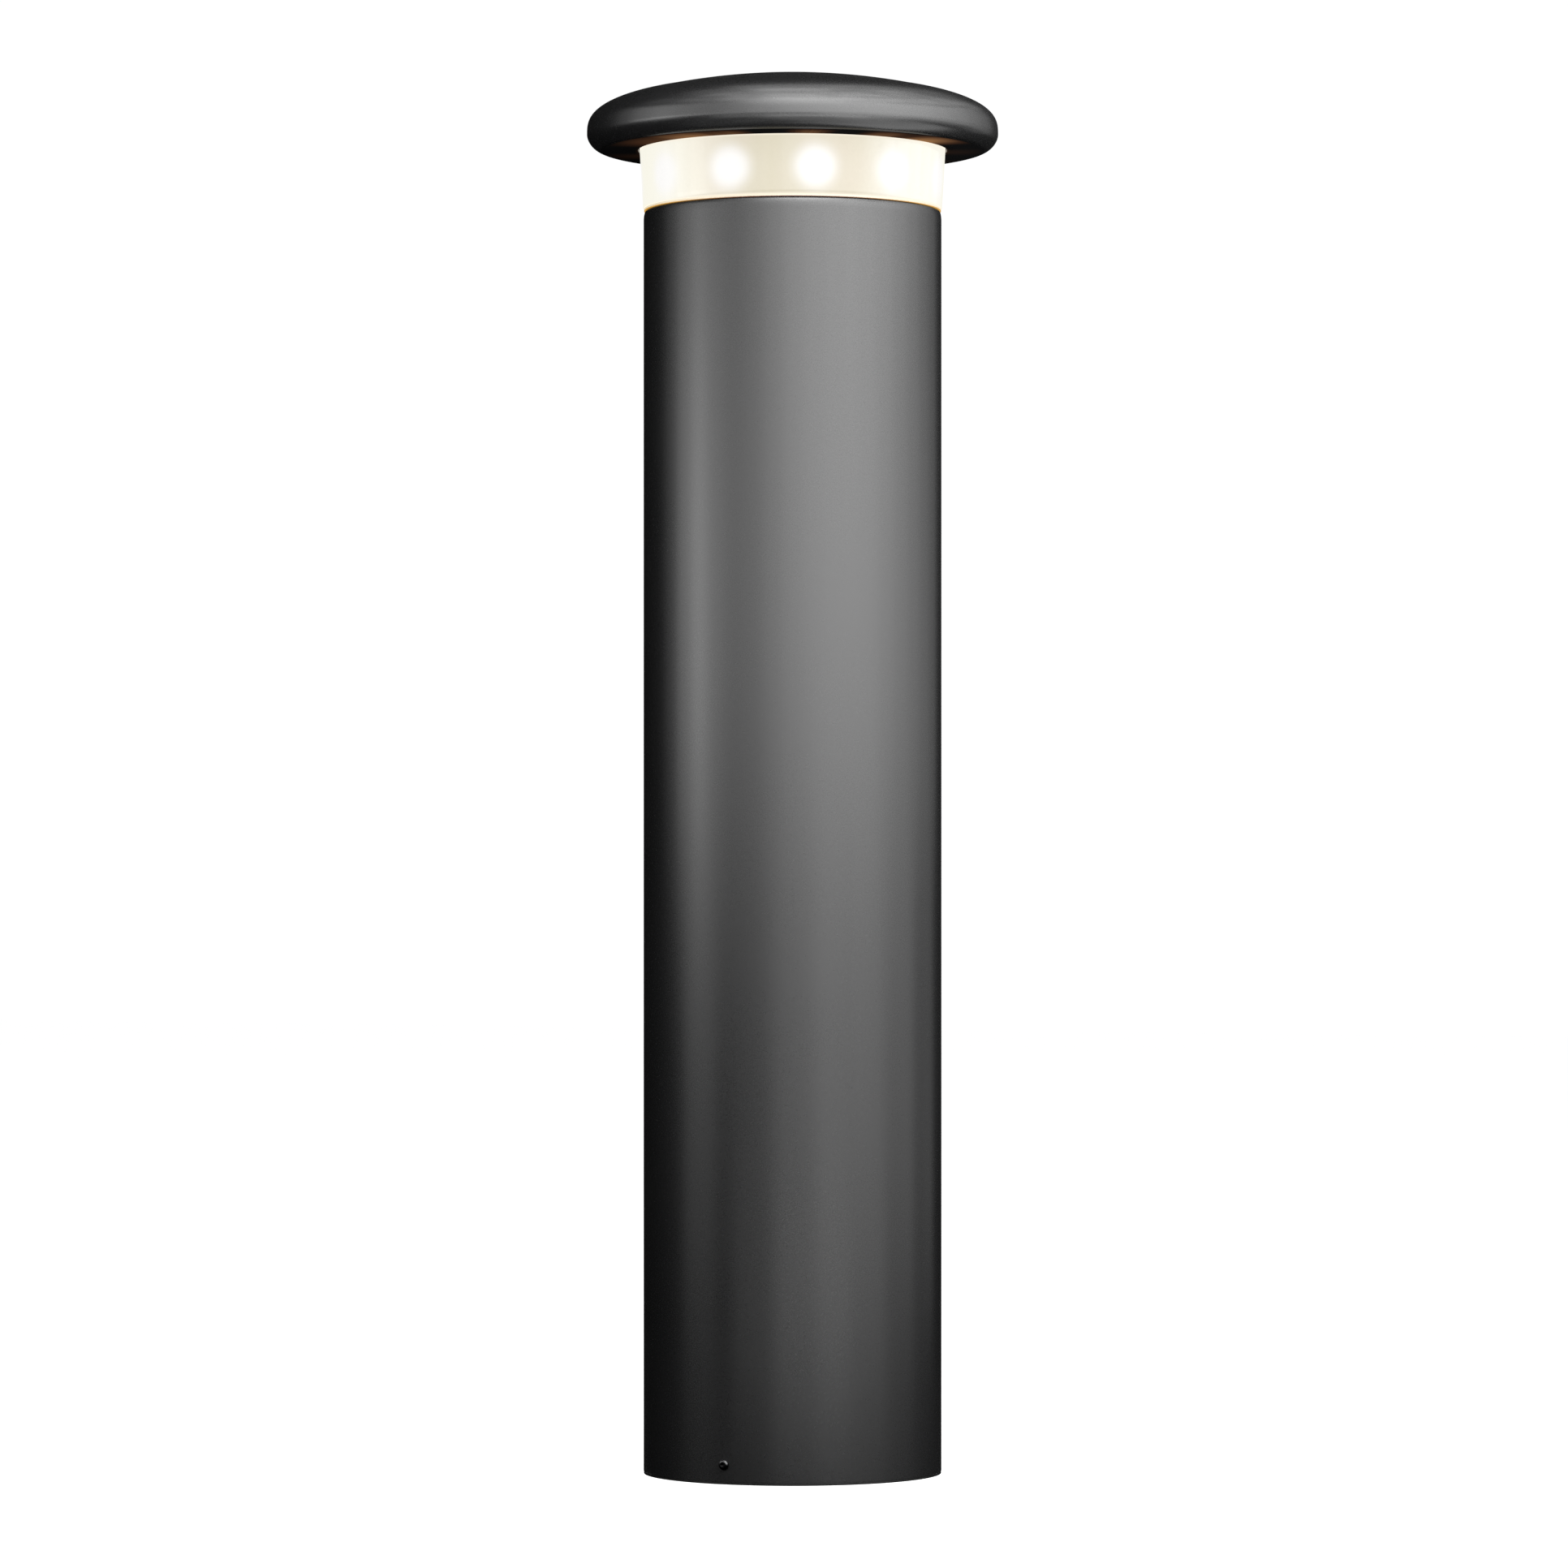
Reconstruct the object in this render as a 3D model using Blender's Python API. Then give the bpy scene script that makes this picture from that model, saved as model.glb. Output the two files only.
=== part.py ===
"""Bollard light: a round aluminium column on a bolted-down base, with a
mushroom cap over a frosted light band.

Metres, +Z up.  The origin is the centre of the base on the ground.  The first
fixing screw faces -Y.

The base (flange, spigot, gear tray and electrical gear) stays bolted to the
ground.  The column slides down over the spigot and carries the lamp head; two
opposite screws near its foot lock it.
"""
import math

import bmesh
import bpy
from mathutils import Matrix, Vector

MM = 0.001
GAP = 0.3          # clearance between touching pieces, mm
SEG = 64           # facets round every large turned piece

# --- column, mm -----------------------------------------------------------
COLUMN_R = 109.55          # 219.1 mm tube
COLUMN_WALL = 4.5
COLUMN_BOTTOM = 1.8
COLUMN_TOP = 927.6
COLUMN_EDGE_H = 7.0        # rounded top edge: height and depth
COLUMN_EDGE_R = 1.9

# --- base -----------------------------------------------------------------
FLANGE_R = 104.3
FLANGE_T = 8.0
ENTRY_R = 36.0             # cable opening
ANCHOR_PCD_R = 75.0
ANCHOR_ANGLES = (-30.0, 90.0, 210.0)
ANCHOR_HOLE_R = 6.5
ANCHOR_PAD_R = 14.0        # machined seat for each anchor's washer
ANCHOR_PAD_H = 1.0
SPIGOT_R = 104.3
SPIGOT_WALL = 7.0
SPIGOT_TOP = 62.0
GROOVE_W = 11.0
GROOVE_D = 3.6
GASKET_RI, GASKET_RO, GASKET_T = 104.95, 109.3, 1.5

# --- fixing screws (M4 button heads) --------------------------------------
FIX_Z = 14.3
FIX_ANGLES = (-90.0, 90.0)
FIX_HEAD_R = 3.8
FIX_HEAD_H = 2.2
FIX_SHANK_R = 2.0
FIX_HOLE_R = 2.35
FIX_TRAVEL = 6.0

# --- lamp head ------------------------------------------------------------
HEAD_PLATE_T = 5.0
HEAD_PLATE_TOP = 927.0
RING_T = 7.0
RING_RI = 88.0
DIFF_BOTTOM_R = 110.0
DIFF_TOP_R = 112.6
DIFF_Z0 = 929.5
DIFF_Z1 = 976.0
DIFF_WALL = 3.2
LED_COUNT = 11
LED_FIRST_AZ = 35.4        # from -Y towards +X
LED_Z = 949.0
CORE_APOTHEM = 88.0
CORE_WALL = 5.0
CORE_Z0, CORE_Z1 = 927.3, 974.0
TIE_R = 62.0
TIE_ANGLES = (-90.0, 30.0, 150.0)

# --- cap ------------------------------------------------------------------
CAP_R = 151.25             # widest radius of the rim
CAP_WIDE_Z = 983.9
CAP_UNDER_Z = 972.1
CAP_APEX_Z = 1026.9
CAP_DOME_R = 472.0         # radius of the crown
CAP_CROWN_R = 108.8        # the crown ends and the shoulder starts
CAP_FLAT_R = 138.6         # the flat underside ends and the rim starts
CAP_WALL = 3.5
CAP_OPEN_R = 113.4

# --- gear tray ------------------------------------------------------------
TRAY_Y = 54.0
TRAY_W = 92.0
TRAY_TOP = 400.0
TRAY_T = 2.0
TRAY_LIP = 16.0

# --------------------------------------------------------------------------
for old in list(bpy.data.objects):
    bpy.data.objects.remove(old, do_unlink=True)


def material(name, colour, rough, metal=0.0, **extra):
    mat = bpy.data.materials.new(name)
    mat.use_nodes = True
    shader = mat.node_tree.nodes["Principled BSDF"]
    shader.inputs["Base Color"].default_value = (*colour, 1.0)
    shader.inputs["Roughness"].default_value = rough
    shader.inputs["Metallic"].default_value = metal
    for key, value in extra.items():
        shader.inputs[key.replace("_", " ")].default_value = value
    return mat


def rgb(code):
    channels = [int(code[i:i + 2], 16) / 255 for i in (0, 2, 4)]
    return [c / 12.92 if c <= 0.04045 else ((c + 0.055) / 1.055) ** 2.4
            for c in channels]


COAT = rgb("3a3b3d")
STEEL = rgb("b9babc")
ALU = rgb("c4c6c8")
ZINC = rgb("a9adb0")


def put(name, mesh, mat_args, origin=(0, 0, 0), parent=None, smooth=35.0):
    """Makes the named object.  The mesh is in world millimetres; the object's
    origin goes to `origin` (mm) without moving the shape."""
    shift = Vector(origin) * MM
    for v in mesh.verts:
        v.co = v.co * MM - shift
    bmesh.ops.remove_doubles(mesh, verts=mesh.verts, dist=1e-6)
    bmesh.ops.recalc_face_normals(mesh, faces=mesh.faces)
    data = bpy.data.meshes.new(name)
    mesh.to_mesh(data)
    mesh.free()
    if smooth:
        data.shade_smooth()
        data.set_sharp_from_angle(angle=math.radians(smooth))
    data.materials.append(material(name + "_mat", *mat_args[:3],
                                   **(mat_args[3] if len(mat_args) > 3 else {})))
    obj = bpy.data.objects.new(name, data)
    bpy.context.scene.collection.objects.link(obj)
    obj.location = shift
    if parent is not None:
        obj.parent = parent
        obj.matrix_parent_inverse = parent.matrix_world.inverted()
    return obj


def empty(name, location=(0, 0, 0), parent=None):
    obj = bpy.data.objects.new(name, None)
    bpy.context.scene.collection.objects.link(obj)
    obj.location = Vector(location) * MM
    if parent is not None:
        obj.parent = parent
    return obj


def turned(profile, seg=SEG, closed=True, centre=(0, 0), phase=0.0):
    """Solid of revolution about a vertical axis.  profile is (r, z) pairs; a
    closed profile makes a ring, an open one starts and ends on the axis."""
    bm = bmesh.new()
    rings = []
    for r, z in profile:
        if r < 1e-9:
            rings.append([bm.verts.new((centre[0], centre[1], z))])
            continue
        ring = []
        for i in range(seg):
            a = 2 * math.pi * i / seg + phase
            ring.append(bm.verts.new((centre[0] + r * math.cos(a),
                                      centre[1] + r * math.sin(a), z)))
        rings.append(ring)
    n = len(rings)
    pairs = [(k, (k + 1) % n) for k in range(n if closed else n - 1)]
    for k, m in pairs:
        a, b = rings[k], rings[m]
        for i in range(seg):
            j = (i + 1) % seg
            if len(a) == 1 and len(b) == 1:
                continue
            if len(a) == 1:
                bm.faces.new((a[0], b[i], b[j]))
            elif len(b) == 1:
                bm.faces.new((a[i], b[0], a[j]))
            else:
                bm.faces.new((a[i], b[i], b[j], a[j]))
    return bm


def ring(ri, ro, z0, z1, seg=SEG, **kw):
    return turned([(ri, z0), (ro, z0), (ro, z1), (ri, z1)], seg=seg, **kw)


def disc(r, z0, z1, seg=SEG, **kw):
    return turned([(0, z0), (r, z0), (r, z1), (0, z1)], seg=seg, closed=False, **kw)


def bore(r, z0, z1, seg=20, centre=(0, 0)):
    """Round cutter, turned a little so that none of its facets lines up with
    those of the piece it cuts."""
    return disc(r, z0, z1, seg=seg, centre=centre, phase=0.0731)


def box(x0, x1, y0, y1, z0, z1, bevel=0.0):
    bm = bmesh.new()
    bmesh.ops.create_cube(bm, size=1.0)
    for v in bm.verts:
        v.co.x = x0 if v.co.x < 0 else x1
        v.co.y = y0 if v.co.y < 0 else y1
        v.co.z = z0 if v.co.z < 0 else z1
    if bevel:
        bmesh.ops.bevel(bm, geom=bm.edges[:], offset=bevel, segments=1,
                        affect='EDGES', profile=0.5)
    return bm


def extruded(outline, z0, z1):
    """Prism from a closed (x, y) outline."""
    bm = bmesh.new()
    low = [bm.verts.new((x, y, z0)) for x, y in outline]
    high = [bm.verts.new((x, y, z1)) for x, y in outline]
    bm.faces.new(low[::-1])
    bm.faces.new(high)
    n = len(outline)
    for i in range(n):
        j = (i + 1) % n
        bm.faces.new((low[i], low[j], high[j], high[i]))
    bmesh.ops.triangulate(bm, faces=[f for f in bm.faces if len(f.verts) > 4])
    return bm


def moved(bm, matrix):
    bmesh.ops.transform(bm, matrix=matrix, verts=bm.verts)
    return bm


def along(bm, point, direction):
    """Turns a shape made about +Z at the origin so that +Z runs along
    direction, and puts it at point."""
    rot = Vector((0, 0, 1)).rotation_difference(Vector(direction).normalized())
    return moved(bm, Matrix.Translation(Vector(point)) @ rot.to_matrix().to_4x4())


def bmesh_object(bm, name):
    bmesh.ops.recalc_face_normals(bm, faces=bm.faces)
    data = bpy.data.meshes.new(name)
    bm.to_mesh(data)
    bm.free()
    obj = bpy.data.objects.new(name, data)
    bpy.context.scene.collection.objects.link(obj)
    return obj


def combine(body, tools, op='DIFFERENCE'):
    """Cuts or joins shapes and returns one shape.  All are in millimetres."""
    base = bmesh_object(body, "work_body")
    used = []
    for k, tool in enumerate(tools):
        cutter = bmesh_object(tool, "work_tool_%d" % k)
        used.append(cutter)
        mod = base.modifiers.new("cut_%d" % k, 'BOOLEAN')
        mod.operation = op
        mod.object = cutter
        mod.solver = 'EXACT'
    graph = bpy.context.evaluated_depsgraph_get()
    result = bmesh.new()
    result.from_mesh(base.evaluated_get(graph).to_mesh())
    for obj in [base] + used:
        bpy.data.objects.remove(obj, do_unlink=True)
    return result


def polar(r, deg, z=None):
    a = math.radians(deg)
    xy = (r * math.cos(a), r * math.sin(a))
    return xy if z is None else (*xy, z)


# --- bodies ---------------------------------------------------------------
column_body = empty("column_lift_frame")
coat = (COAT, 0.45, 0.0)
alu = (ALU, 0.4, 1.0)
steel = (STEEL, 0.3, 1.0)
zinc = (ZINC, 0.38, 1.0)

# --- base: flange, spigot, gasket -----------------------------------------
holes = [bore(ANCHOR_HOLE_R, -5, FLANGE_T + 5, seg=24, centre=polar(ANCHOR_PCD_R, a))
         for a in ANCHOR_ANGLES]
pads = [bore(ANCHOR_PAD_R, FLANGE_T / 2, FLANGE_T + ANCHOR_PAD_H, seg=28,
             centre=polar(ANCHOR_PCD_R, a)) for a in ANCHOR_ANGLES]
flange = combine(ring(ENTRY_R, FLANGE_R, 0, FLANGE_T), pads, 'UNION')
put("base_flange", combine(flange, holes), alu)

spigot = ring(SPIGOT_R - SPIGOT_WALL, SPIGOT_R, FLANGE_T + GAP, SPIGOT_TOP)
grooves = []
for a in FIX_ANGLES:
    g = box(SPIGOT_R - GROOVE_D, SPIGOT_R + 10, -GROOVE_W / 2, GROOVE_W / 2,
            0, SPIGOT_TOP + 10)
    grooves.append(moved(g, Matrix.Rotation(math.radians(a), 4, 'Z')))
put("spigot_ring", combine(spigot, grooves), alu)

put("foot_gasket", ring(GASKET_RI, GASKET_RO, 0, GASKET_T), (rgb("17181a"), 0.8, 0.0))

# --- column ---------------------------------------------------------------
edge = []
for i in range(6):
    t = math.pi / 2 * i / 5
    edge.append((COLUMN_R - COLUMN_EDGE_R * (1 - math.cos(t)),
                 COLUMN_TOP - COLUMN_EDGE_H * (1 - math.sin(t))))
inner_r = COLUMN_R - COLUMN_WALL
tube = turned([(inner_r, COLUMN_BOTTOM), (COLUMN_R, COLUMN_BOTTOM), *edge,
               (inner_r, COLUMN_TOP)])
cuts = [along(bore(FIX_HOLE_R, 95, 118), (0, 0, FIX_Z), (*polar(1, a), 0))
        for a in FIX_ANGLES]
put("column_tube", combine(tube, cuts), coat, parent=column_body)

# --- fixing screws and their inserts --------------------------------------
facet = math.cos(math.pi / SEG)            # flats of a faceted tube lie inside
seat = COLUMN_R + GAP                      # underside of the head
groove_floor = SPIGOT_R - GROOVE_D
for k, a in enumerate(FIX_ANGLES, 1):
    direction = (*polar(1, a), 0)
    tip = groove_floor + GAP + 0.1
    head = []
    for i in range(5):
        t = math.pi / 2 * i / 4
        head.append((1.9 + (FIX_HEAD_R - 1.9) * math.cos(t),
                     seat + 0.35 + (FIX_HEAD_H - 0.35) * math.sin(t)))
    screw = turned([(0, tip), (FIX_SHANK_R - 0.5, tip), (FIX_SHANK_R, tip + 0.5),
                    (FIX_SHANK_R, seat), (FIX_HEAD_R, seat), *head,
                    (0, seat + FIX_HEAD_H)], seg=24, closed=False)
    socket = disc(2.5 / 2 / math.cos(math.pi / 6), seat + FIX_HEAD_H - 1.3,
                  seat + FIX_HEAD_H + 3, seg=6)
    screw = along(combine(screw, [socket]), (0, 0, FIX_Z), direction)
    frame = empty("fixing_screw_%d_frame" % k, (*polar(seat, a), FIX_Z), column_body)
    bpy.context.view_layer.update()
    put("fixing_screw_%d" % k, screw, (rgb("141415"), 0.25, 1.0),
        origin=(*polar(seat, a), FIX_Z), parent=frame)
    top = inner_r * facet - GAP
    insert = ring(FIX_SHANK_R + GAP, 3.9, groove_floor + 0.5, top, seg=20)
    put("thread_insert_%d" % k, along(insert, (0, 0, FIX_Z), direction), zinc,
        parent=column_body)

# --- top of the column ----------------------------------------------------
plate_z0 = HEAD_PLATE_TOP - HEAD_PLATE_T
ring_z1 = plate_z0 - GAP
ring_z0 = ring_z1 - RING_T
fit_r = inner_r * 1.0 - 0.35
tie_holes = lambda z0, z1, r=3.5: [bore(r, z0, z1, seg=16, centre=polar(TIE_R, a))
                                   for a in TIE_ANGLES]
ears = []
for a in TIE_ANGLES:
    ear = box(TIE_R - 12, RING_RI + 5, -12, 12, ring_z0, ring_z1)
    ears.append(moved(ear, Matrix.Rotation(math.radians(a), 4, 'Z')))
body = combine(ring(RING_RI, fit_r, ring_z0, ring_z1), ears, 'UNION')
put("mounting_ring", combine(body, tie_holes(ring_z0 - 5, ring_z1 + 5)), alu,
    parent=column_body)
put("head_plate", combine(ring(9.4, fit_r, plate_z0, HEAD_PLATE_TOP),
                          tie_holes(plate_z0 - 5, HEAD_PLATE_TOP + 5)), alu,
    parent=column_body)
put("lower_gasket", ring(104.6, 109.2, COLUMN_TOP + GAP, DIFF_Z0 - GAP),
    (rgb("e4dccb"), 0.6, 0.0), parent=column_body)

# --- diffuser -------------------------------------------------------------
put("diffuser", turned([(DIFF_BOTTOM_R - DIFF_WALL, DIFF_Z0), (DIFF_BOTTOM_R, DIFF_Z0),
                        (DIFF_TOP_R, DIFF_Z1), (DIFF_TOP_R - DIFF_WALL, DIFF_Z1)]),
    (rgb("f3ead6"), 0.35, 0.0, {"Emission_Color": (1.0, 0.86, 0.66, 1.0),
                                "Emission_Strength": 0.6}), parent=column_body)
put("upper_gasket", ring(107.4, 112.2, DIFF_Z1 + GAP, DIFF_Z1 + 1.8),
    (rgb("141415"), 0.85, 0.0), parent=column_body)

# --- LED core: many-sided heat sink drum with one board on each flat ------
half = math.pi / LED_COUNT
step = 2 * half
az0 = math.radians(LED_FIRST_AZ - 90.0)


def drum_outline(apothem):
    r = apothem / math.cos(half)
    return [(r * math.cos(az0 + half + i * step), r * math.sin(az0 + half + i * step))
            for i in range(LED_COUNT)]


outer, inner = drum_outline(CORE_APOTHEM), drum_outline(CORE_APOTHEM - CORE_WALL)
bm = bmesh.new()
rows = []
for z in (CORE_Z0, CORE_Z1):
    rows.append([[bm.verts.new((x, y, z)) for x, y in loop] for loop in (outer, inner)])
for i in range(LED_COUNT):
    j = (i + 1) % LED_COUNT
    bm.faces.new((rows[0][0][i], rows[0][0][j], rows[1][0][j], rows[1][0][i]))
    bm.faces.new((rows[0][1][j], rows[0][1][i], rows[1][1][i], rows[1][1][j]))
    bm.faces.new((rows[0][0][j], rows[0][0][i], rows[0][1][i], rows[0][1][j]))
    bm.faces.new((rows[1][0][i], rows[1][0][j], rows[1][1][j], rows[1][1][i]))
put("led_core", bm, alu, parent=column_body, smooth=0)

for k in range(LED_COUNT):
    a = az0 + k * step
    x0 = CORE_APOTHEM + GAP
    board = box(x0, x0 + 1.6, -22, 22, LED_Z - 17, LED_Z + 17)
    lens = []
    for i in range(4):
        t = math.pi / 2 * i / 3
        lens.append((5.0 * math.cos(t), x0 + 2.0 + 3.4 * math.sin(t)))
    lens = turned([(0, x0 + 1.0), (5.0, x0 + 1.0), *lens[:-1], (0, x0 + 5.4)],
                  seg=16, closed=False)
    lens = along(lens, (0, 0, LED_Z), (1, 0, 0))
    board = combine(board, [lens], 'UNION')
    put("led_board_%02d" % (k + 1), moved(board, Matrix.Rotation(a, 4, 'Z')),
        (rgb("e9e7df"), 0.4, 0.0), parent=column_body)

# --- clamp plate over the diffuser ----------------------------------------
clamp_z0 = DIFF_Z1 + 1.8 + GAP
clamp_z1 = clamp_z0 + 3.0
put("clamp_plate", combine(disc(112.6, clamp_z0, clamp_z1),
                           tie_holes(clamp_z0 - 5, clamp_z1 + 5)), alu,
    parent=column_body)

# --- cap ------------------------------------------------------------------


def dome(r):
    return CAP_APEX_Z - r * r / (2 * CAP_DOME_R)


def cap_outer():
    """Crown, then the shoulder and the rim as superellipse quarters."""
    points = [(r, dome(r)) for r in (0.0, 32.0, 62.0, 88.0)]
    # shoulder: from the crown out to the widest point
    r0, z0 = CAP_CROWN_R, dome(CAP_CROWN_R)
    for i in range(0, 11):
        t = math.pi / 2 * i / 10
        points.append((r0 + (CAP_R - r0) * math.sin(t) ** 1.768,
                       CAP_WIDE_Z + (z0 - CAP_WIDE_Z) * math.cos(t) ** 0.681))
    # lower rim: from the widest point in to the flat underside
    r1 = CAP_FLAT_R
    for i in range(1, 7):
        t = math.pi / 2 * i / 6
        points.append((r1 + (CAP_R - r1) * math.cos(t) ** 1.04,
                       CAP_WIDE_Z - (CAP_WIDE_Z - CAP_UNDER_Z) * math.sin(t) ** 1.11))
    return points


outside = cap_outer()
w = CAP_WALL
inside = [(CAP_OPEN_R, CAP_UNDER_Z), (CAP_OPEN_R, CAP_UNDER_Z + w),
          (136.0, CAP_UNDER_Z + w), (144.0, CAP_UNDER_Z + w + 3.6),
          (CAP_R - w, CAP_WIDE_Z), (144.8, 995.0), (137.0, 1001.4), (112.0, 1009.8),
          (88.0, dome(88.0) - w - 0.4), (45.0, dome(45.0) - w), (0.0, dome(0.0) - w)]
cap = turned(outside + inside, closed=False)
bosses = []
for a in TIE_ANGLES:
    bosses.append(disc(9.0, clamp_z1 + GAP, dome(TIE_R) - 1.6, seg=20,
                       centre=polar(TIE_R, a)))
cap = combine(cap, bosses, 'UNION')
cap = combine(cap, [bore(3.35, clamp_z1 - 5, clamp_z1 + 22, seg=16,
                         centre=polar(TIE_R, a)) for a in TIE_ANGLES])
put("cap", cap, coat, parent=column_body)

# --- tie bolts (M6, hex head under the mounting ring) ---------------------
for k, a in enumerate(TIE_ANGLES, 1):
    c = polar(TIE_R, a)
    z = ring_z0 - GAP
    bolt = turned([(0, z - 4.0), (10 / math.sqrt(3), z - 4.0), (10 / math.sqrt(3), z),
                   (3.0, z), (3.0, clamp_z1 + 18.0), (0, clamp_z1 + 18.0)],
                  seg=12, closed=False, centre=c)
    put("tie_bolt_%d" % k, bolt, zinc, parent=column_body)

# --- lead from the lamp head ----------------------------------------------


def lead(name, points, r, colour, parent=None, count=24, res=2):
    """Round lead through smooth points (mm)."""
    pts = [Vector(p) for p in points]
    ext = [pts[0] * 2 - pts[1]] + pts + [pts[-1] * 2 - pts[-2]]
    path = []
    spans = len(pts) - 1
    for i in range(count + 1):
        u = spans * i / count
        s = min(int(u), spans - 1)
        t = u - s
        p0, p1, p2, p3 = ext[s:s + 4]
        path.append(0.5 * ((2 * p1) + (p2 - p0) * t
                           + (2 * p0 - 5 * p1 + 4 * p2 - p3) * t * t
                           + (3 * p1 - p0 - 3 * p2 + p3) * t ** 3))
    curve = bpy.data.curves.new(name, 'CURVE')
    curve.dimensions = '3D'
    curve.bevel_depth = r * MM
    curve.bevel_resolution = res
    curve.use_fill_caps = True
    curve.render_resolution_u = 0
    curve.resolution_u = 1
    spline = curve.splines.new('POLY')
    spline.points.add(len(path) - 1)
    for q, p in zip(spline.points, path):
        q.co = (*(p * MM), 1.0)
    curve.materials.append(material(name + "_mat", colour, 0.5))
    obj = bpy.data.objects.new(name, curve)
    bpy.context.scene.collection.objects.link(obj)
    if parent is not None:
        obj.parent = parent
    return obj


gland_z = plate_z0 - GAP
gland = turned([(4.1, gland_z - 14), (6.5, gland_z - 14), (8.5, gland_z - 10),
                (11.0, gland_z - 9), (11.0, gland_z), (9.1, gland_z),
                (9.1, HEAD_PLATE_TOP + 6), (4.1, HEAD_PLATE_TOP + 6)], seg=18)
put("lead_gland", gland, (rgb("202124"), 0.5, 0.0), parent=column_body)
plug_z0 = TRAY_TOP - 10
put("connector_plug", box(-16, 16, 26, 42, plug_z0, plug_z0 + 30, bevel=1.5),
    (rgb("1c1d20"), 0.45, 0.0), parent=column_body, smooth=0)
lead("lead_to_led", [(0, 0, HEAD_PLATE_TOP + 16), (0, 0, 905), (0, 3, 860), (-3, 16, 780),
                     (-6, 34, 680), (-4, 42, 580), (-1, 37, 490),
                     (0, 34, 450), (0, 34, plug_z0 + 30 + GAP)], 3.6,
     rgb("1a1a1c"), column_body, count=34)

# --- gear tray: folded channel with two feet ------------------------------
z0 = FLANGE_T + GAP
tray = extruded([(-TRAY_W / 2, TRAY_Y - TRAY_LIP), (-TRAY_W / 2 + TRAY_T, TRAY_Y - TRAY_LIP),
                 (-TRAY_W / 2 + TRAY_T, TRAY_Y - TRAY_T), (TRAY_W / 2 - TRAY_T, TRAY_Y - TRAY_T),
                 (TRAY_W / 2 - TRAY_T, TRAY_Y - TRAY_LIP), (TRAY_W / 2, TRAY_Y - TRAY_LIP),
                 (TRAY_W / 2, TRAY_Y), (-TRAY_W / 2, TRAY_Y)], z0 + 1.0, TRAY_TOP)
feet = [box(s * 34 - 11, s * 34 + 11, TRAY_Y - 1, TRAY_Y + 24, z0, z0 + TRAY_T)
        for s in (-1, 1)]
tray = combine(tray, feet, 'UNION')
foot_y = TRAY_Y + 14
tray = combine(tray, [bore(2.8, z0 - 3, z0 + 6, seg=16, centre=(s * 34, foot_y))
                      for s in (-1, 1)])
put("gear_tray", tray, zinc, smooth=0)
for k, s in enumerate((-1, 1), 1):
    zt = z0 + TRAY_T + GAP
    put("tray_screw_%d" % k,
        turned([(0, z0 + 0.2), (2.4, z0 + 0.2), (2.4, zt), (4.6, zt), (4.6, zt + 1.6),
                (3.2, zt + 3.0), (0, zt + 3.3)], seg=16, closed=False,
               centre=(s * 34, foot_y)), steel)

front = TRAY_Y - TRAY_T - GAP           # the web's front face
# driver
dz0, dz1 = 240.0, 372.0
put("driver", box(-21, 21, front - 30, front, dz0, dz1, bevel=1.2),
    (rgb("e6e6e2"), 0.45, 0.0), smooth=0)
# junction box, its lid, and the terminal block inside
jz0, jz1 = 92.0, 192.0
jx = 38.0
jy0, jy1 = front - 36, front
shell = box(-jx, jx, jy0, jy1, jz0, jz1, bevel=2.0)
inner_cut = box(-jx + 2.5, jx - 2.5, jy0 - 5, jy1 - 2.5, jz0 + 2.5, jz1 - 2.5)
cable_in = bore(8.2, jz0 - 5, jz0 + 8, centre=(-16, front - 18))
cable_in2 = bore(8.2, jz0 - 5, jz0 + 8, centre=(16, front - 18))
cable_out = bore(6.2, jz1 - 8, jz1 + 5, centre=(0, front - 18))
put("junction_box", combine(shell, [inner_cut, cable_in, cable_in2, cable_out]),
    (rgb("9fa3a6"), 0.5, 0.0), smooth=0)
put("junction_box_lid", box(-jx, jx, jy0 - 3.5, jy0 - GAP, jz0, jz1, bevel=1.0),
    (rgb("b2b5b8"), 0.5, 0.0), smooth=0)
put("terminal_block", box(-26, 26, jy1 - 2.5 - GAP - 15, jy1 - 2.5 - GAP, 134, 152, bevel=1.0),
    (rgb("efeee8"), 0.5, 0.0), smooth=0)


def gland_at(name, x, y, face_z, down, r_hole, inside_r, colour="26282b"):
    """Cable gland through a wall: nut outside, thread inside."""
    s = -1 if down else 1
    prof = [(inside_r, face_z + s * 16), (r_hole - 0.6, face_z + s * 16),
            (r_hole + 2.2, face_z + s * 11), (r_hole + 2.2, face_z + s * GAP),
            (r_hole - GAP, face_z + s * GAP), (r_hole - GAP, face_z - s * 6),
            (inside_r, face_z - s * 6)]
    if down:
        prof = prof[::-1]
    put(name, turned(prof, seg=18, centre=(x, y)), (rgb(colour), 0.5, 0.0))


gland_at("inlet_gland", -16, front - 18, jz0, True, 8.2, 5.0)
gland_at("through_gland", 16, front - 18, jz0, True, 8.2, 5.0)
gland_at("outlet_gland", 0, front - 18, jz1, False, 6.2, 3.6)
lead("driver_input_lead", [(0, front - 18, 170), (0, front - 18, 200),
                           (0, front - 17, 220), (0, front - 15.5, dz0 - GAP)],
     3.0, rgb("1a1a1c"), count=12)
# driver screws
for k, (x, z) in enumerate(((-27, 250.0), (27, 362.0)), 1):
    put("driver_clip_%d" % k,
        box(min(x, x * 0.8), max(x, x * 0.8), front - 12, front, z - 6, z + 6),
        zinc, smooth=0)
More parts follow.
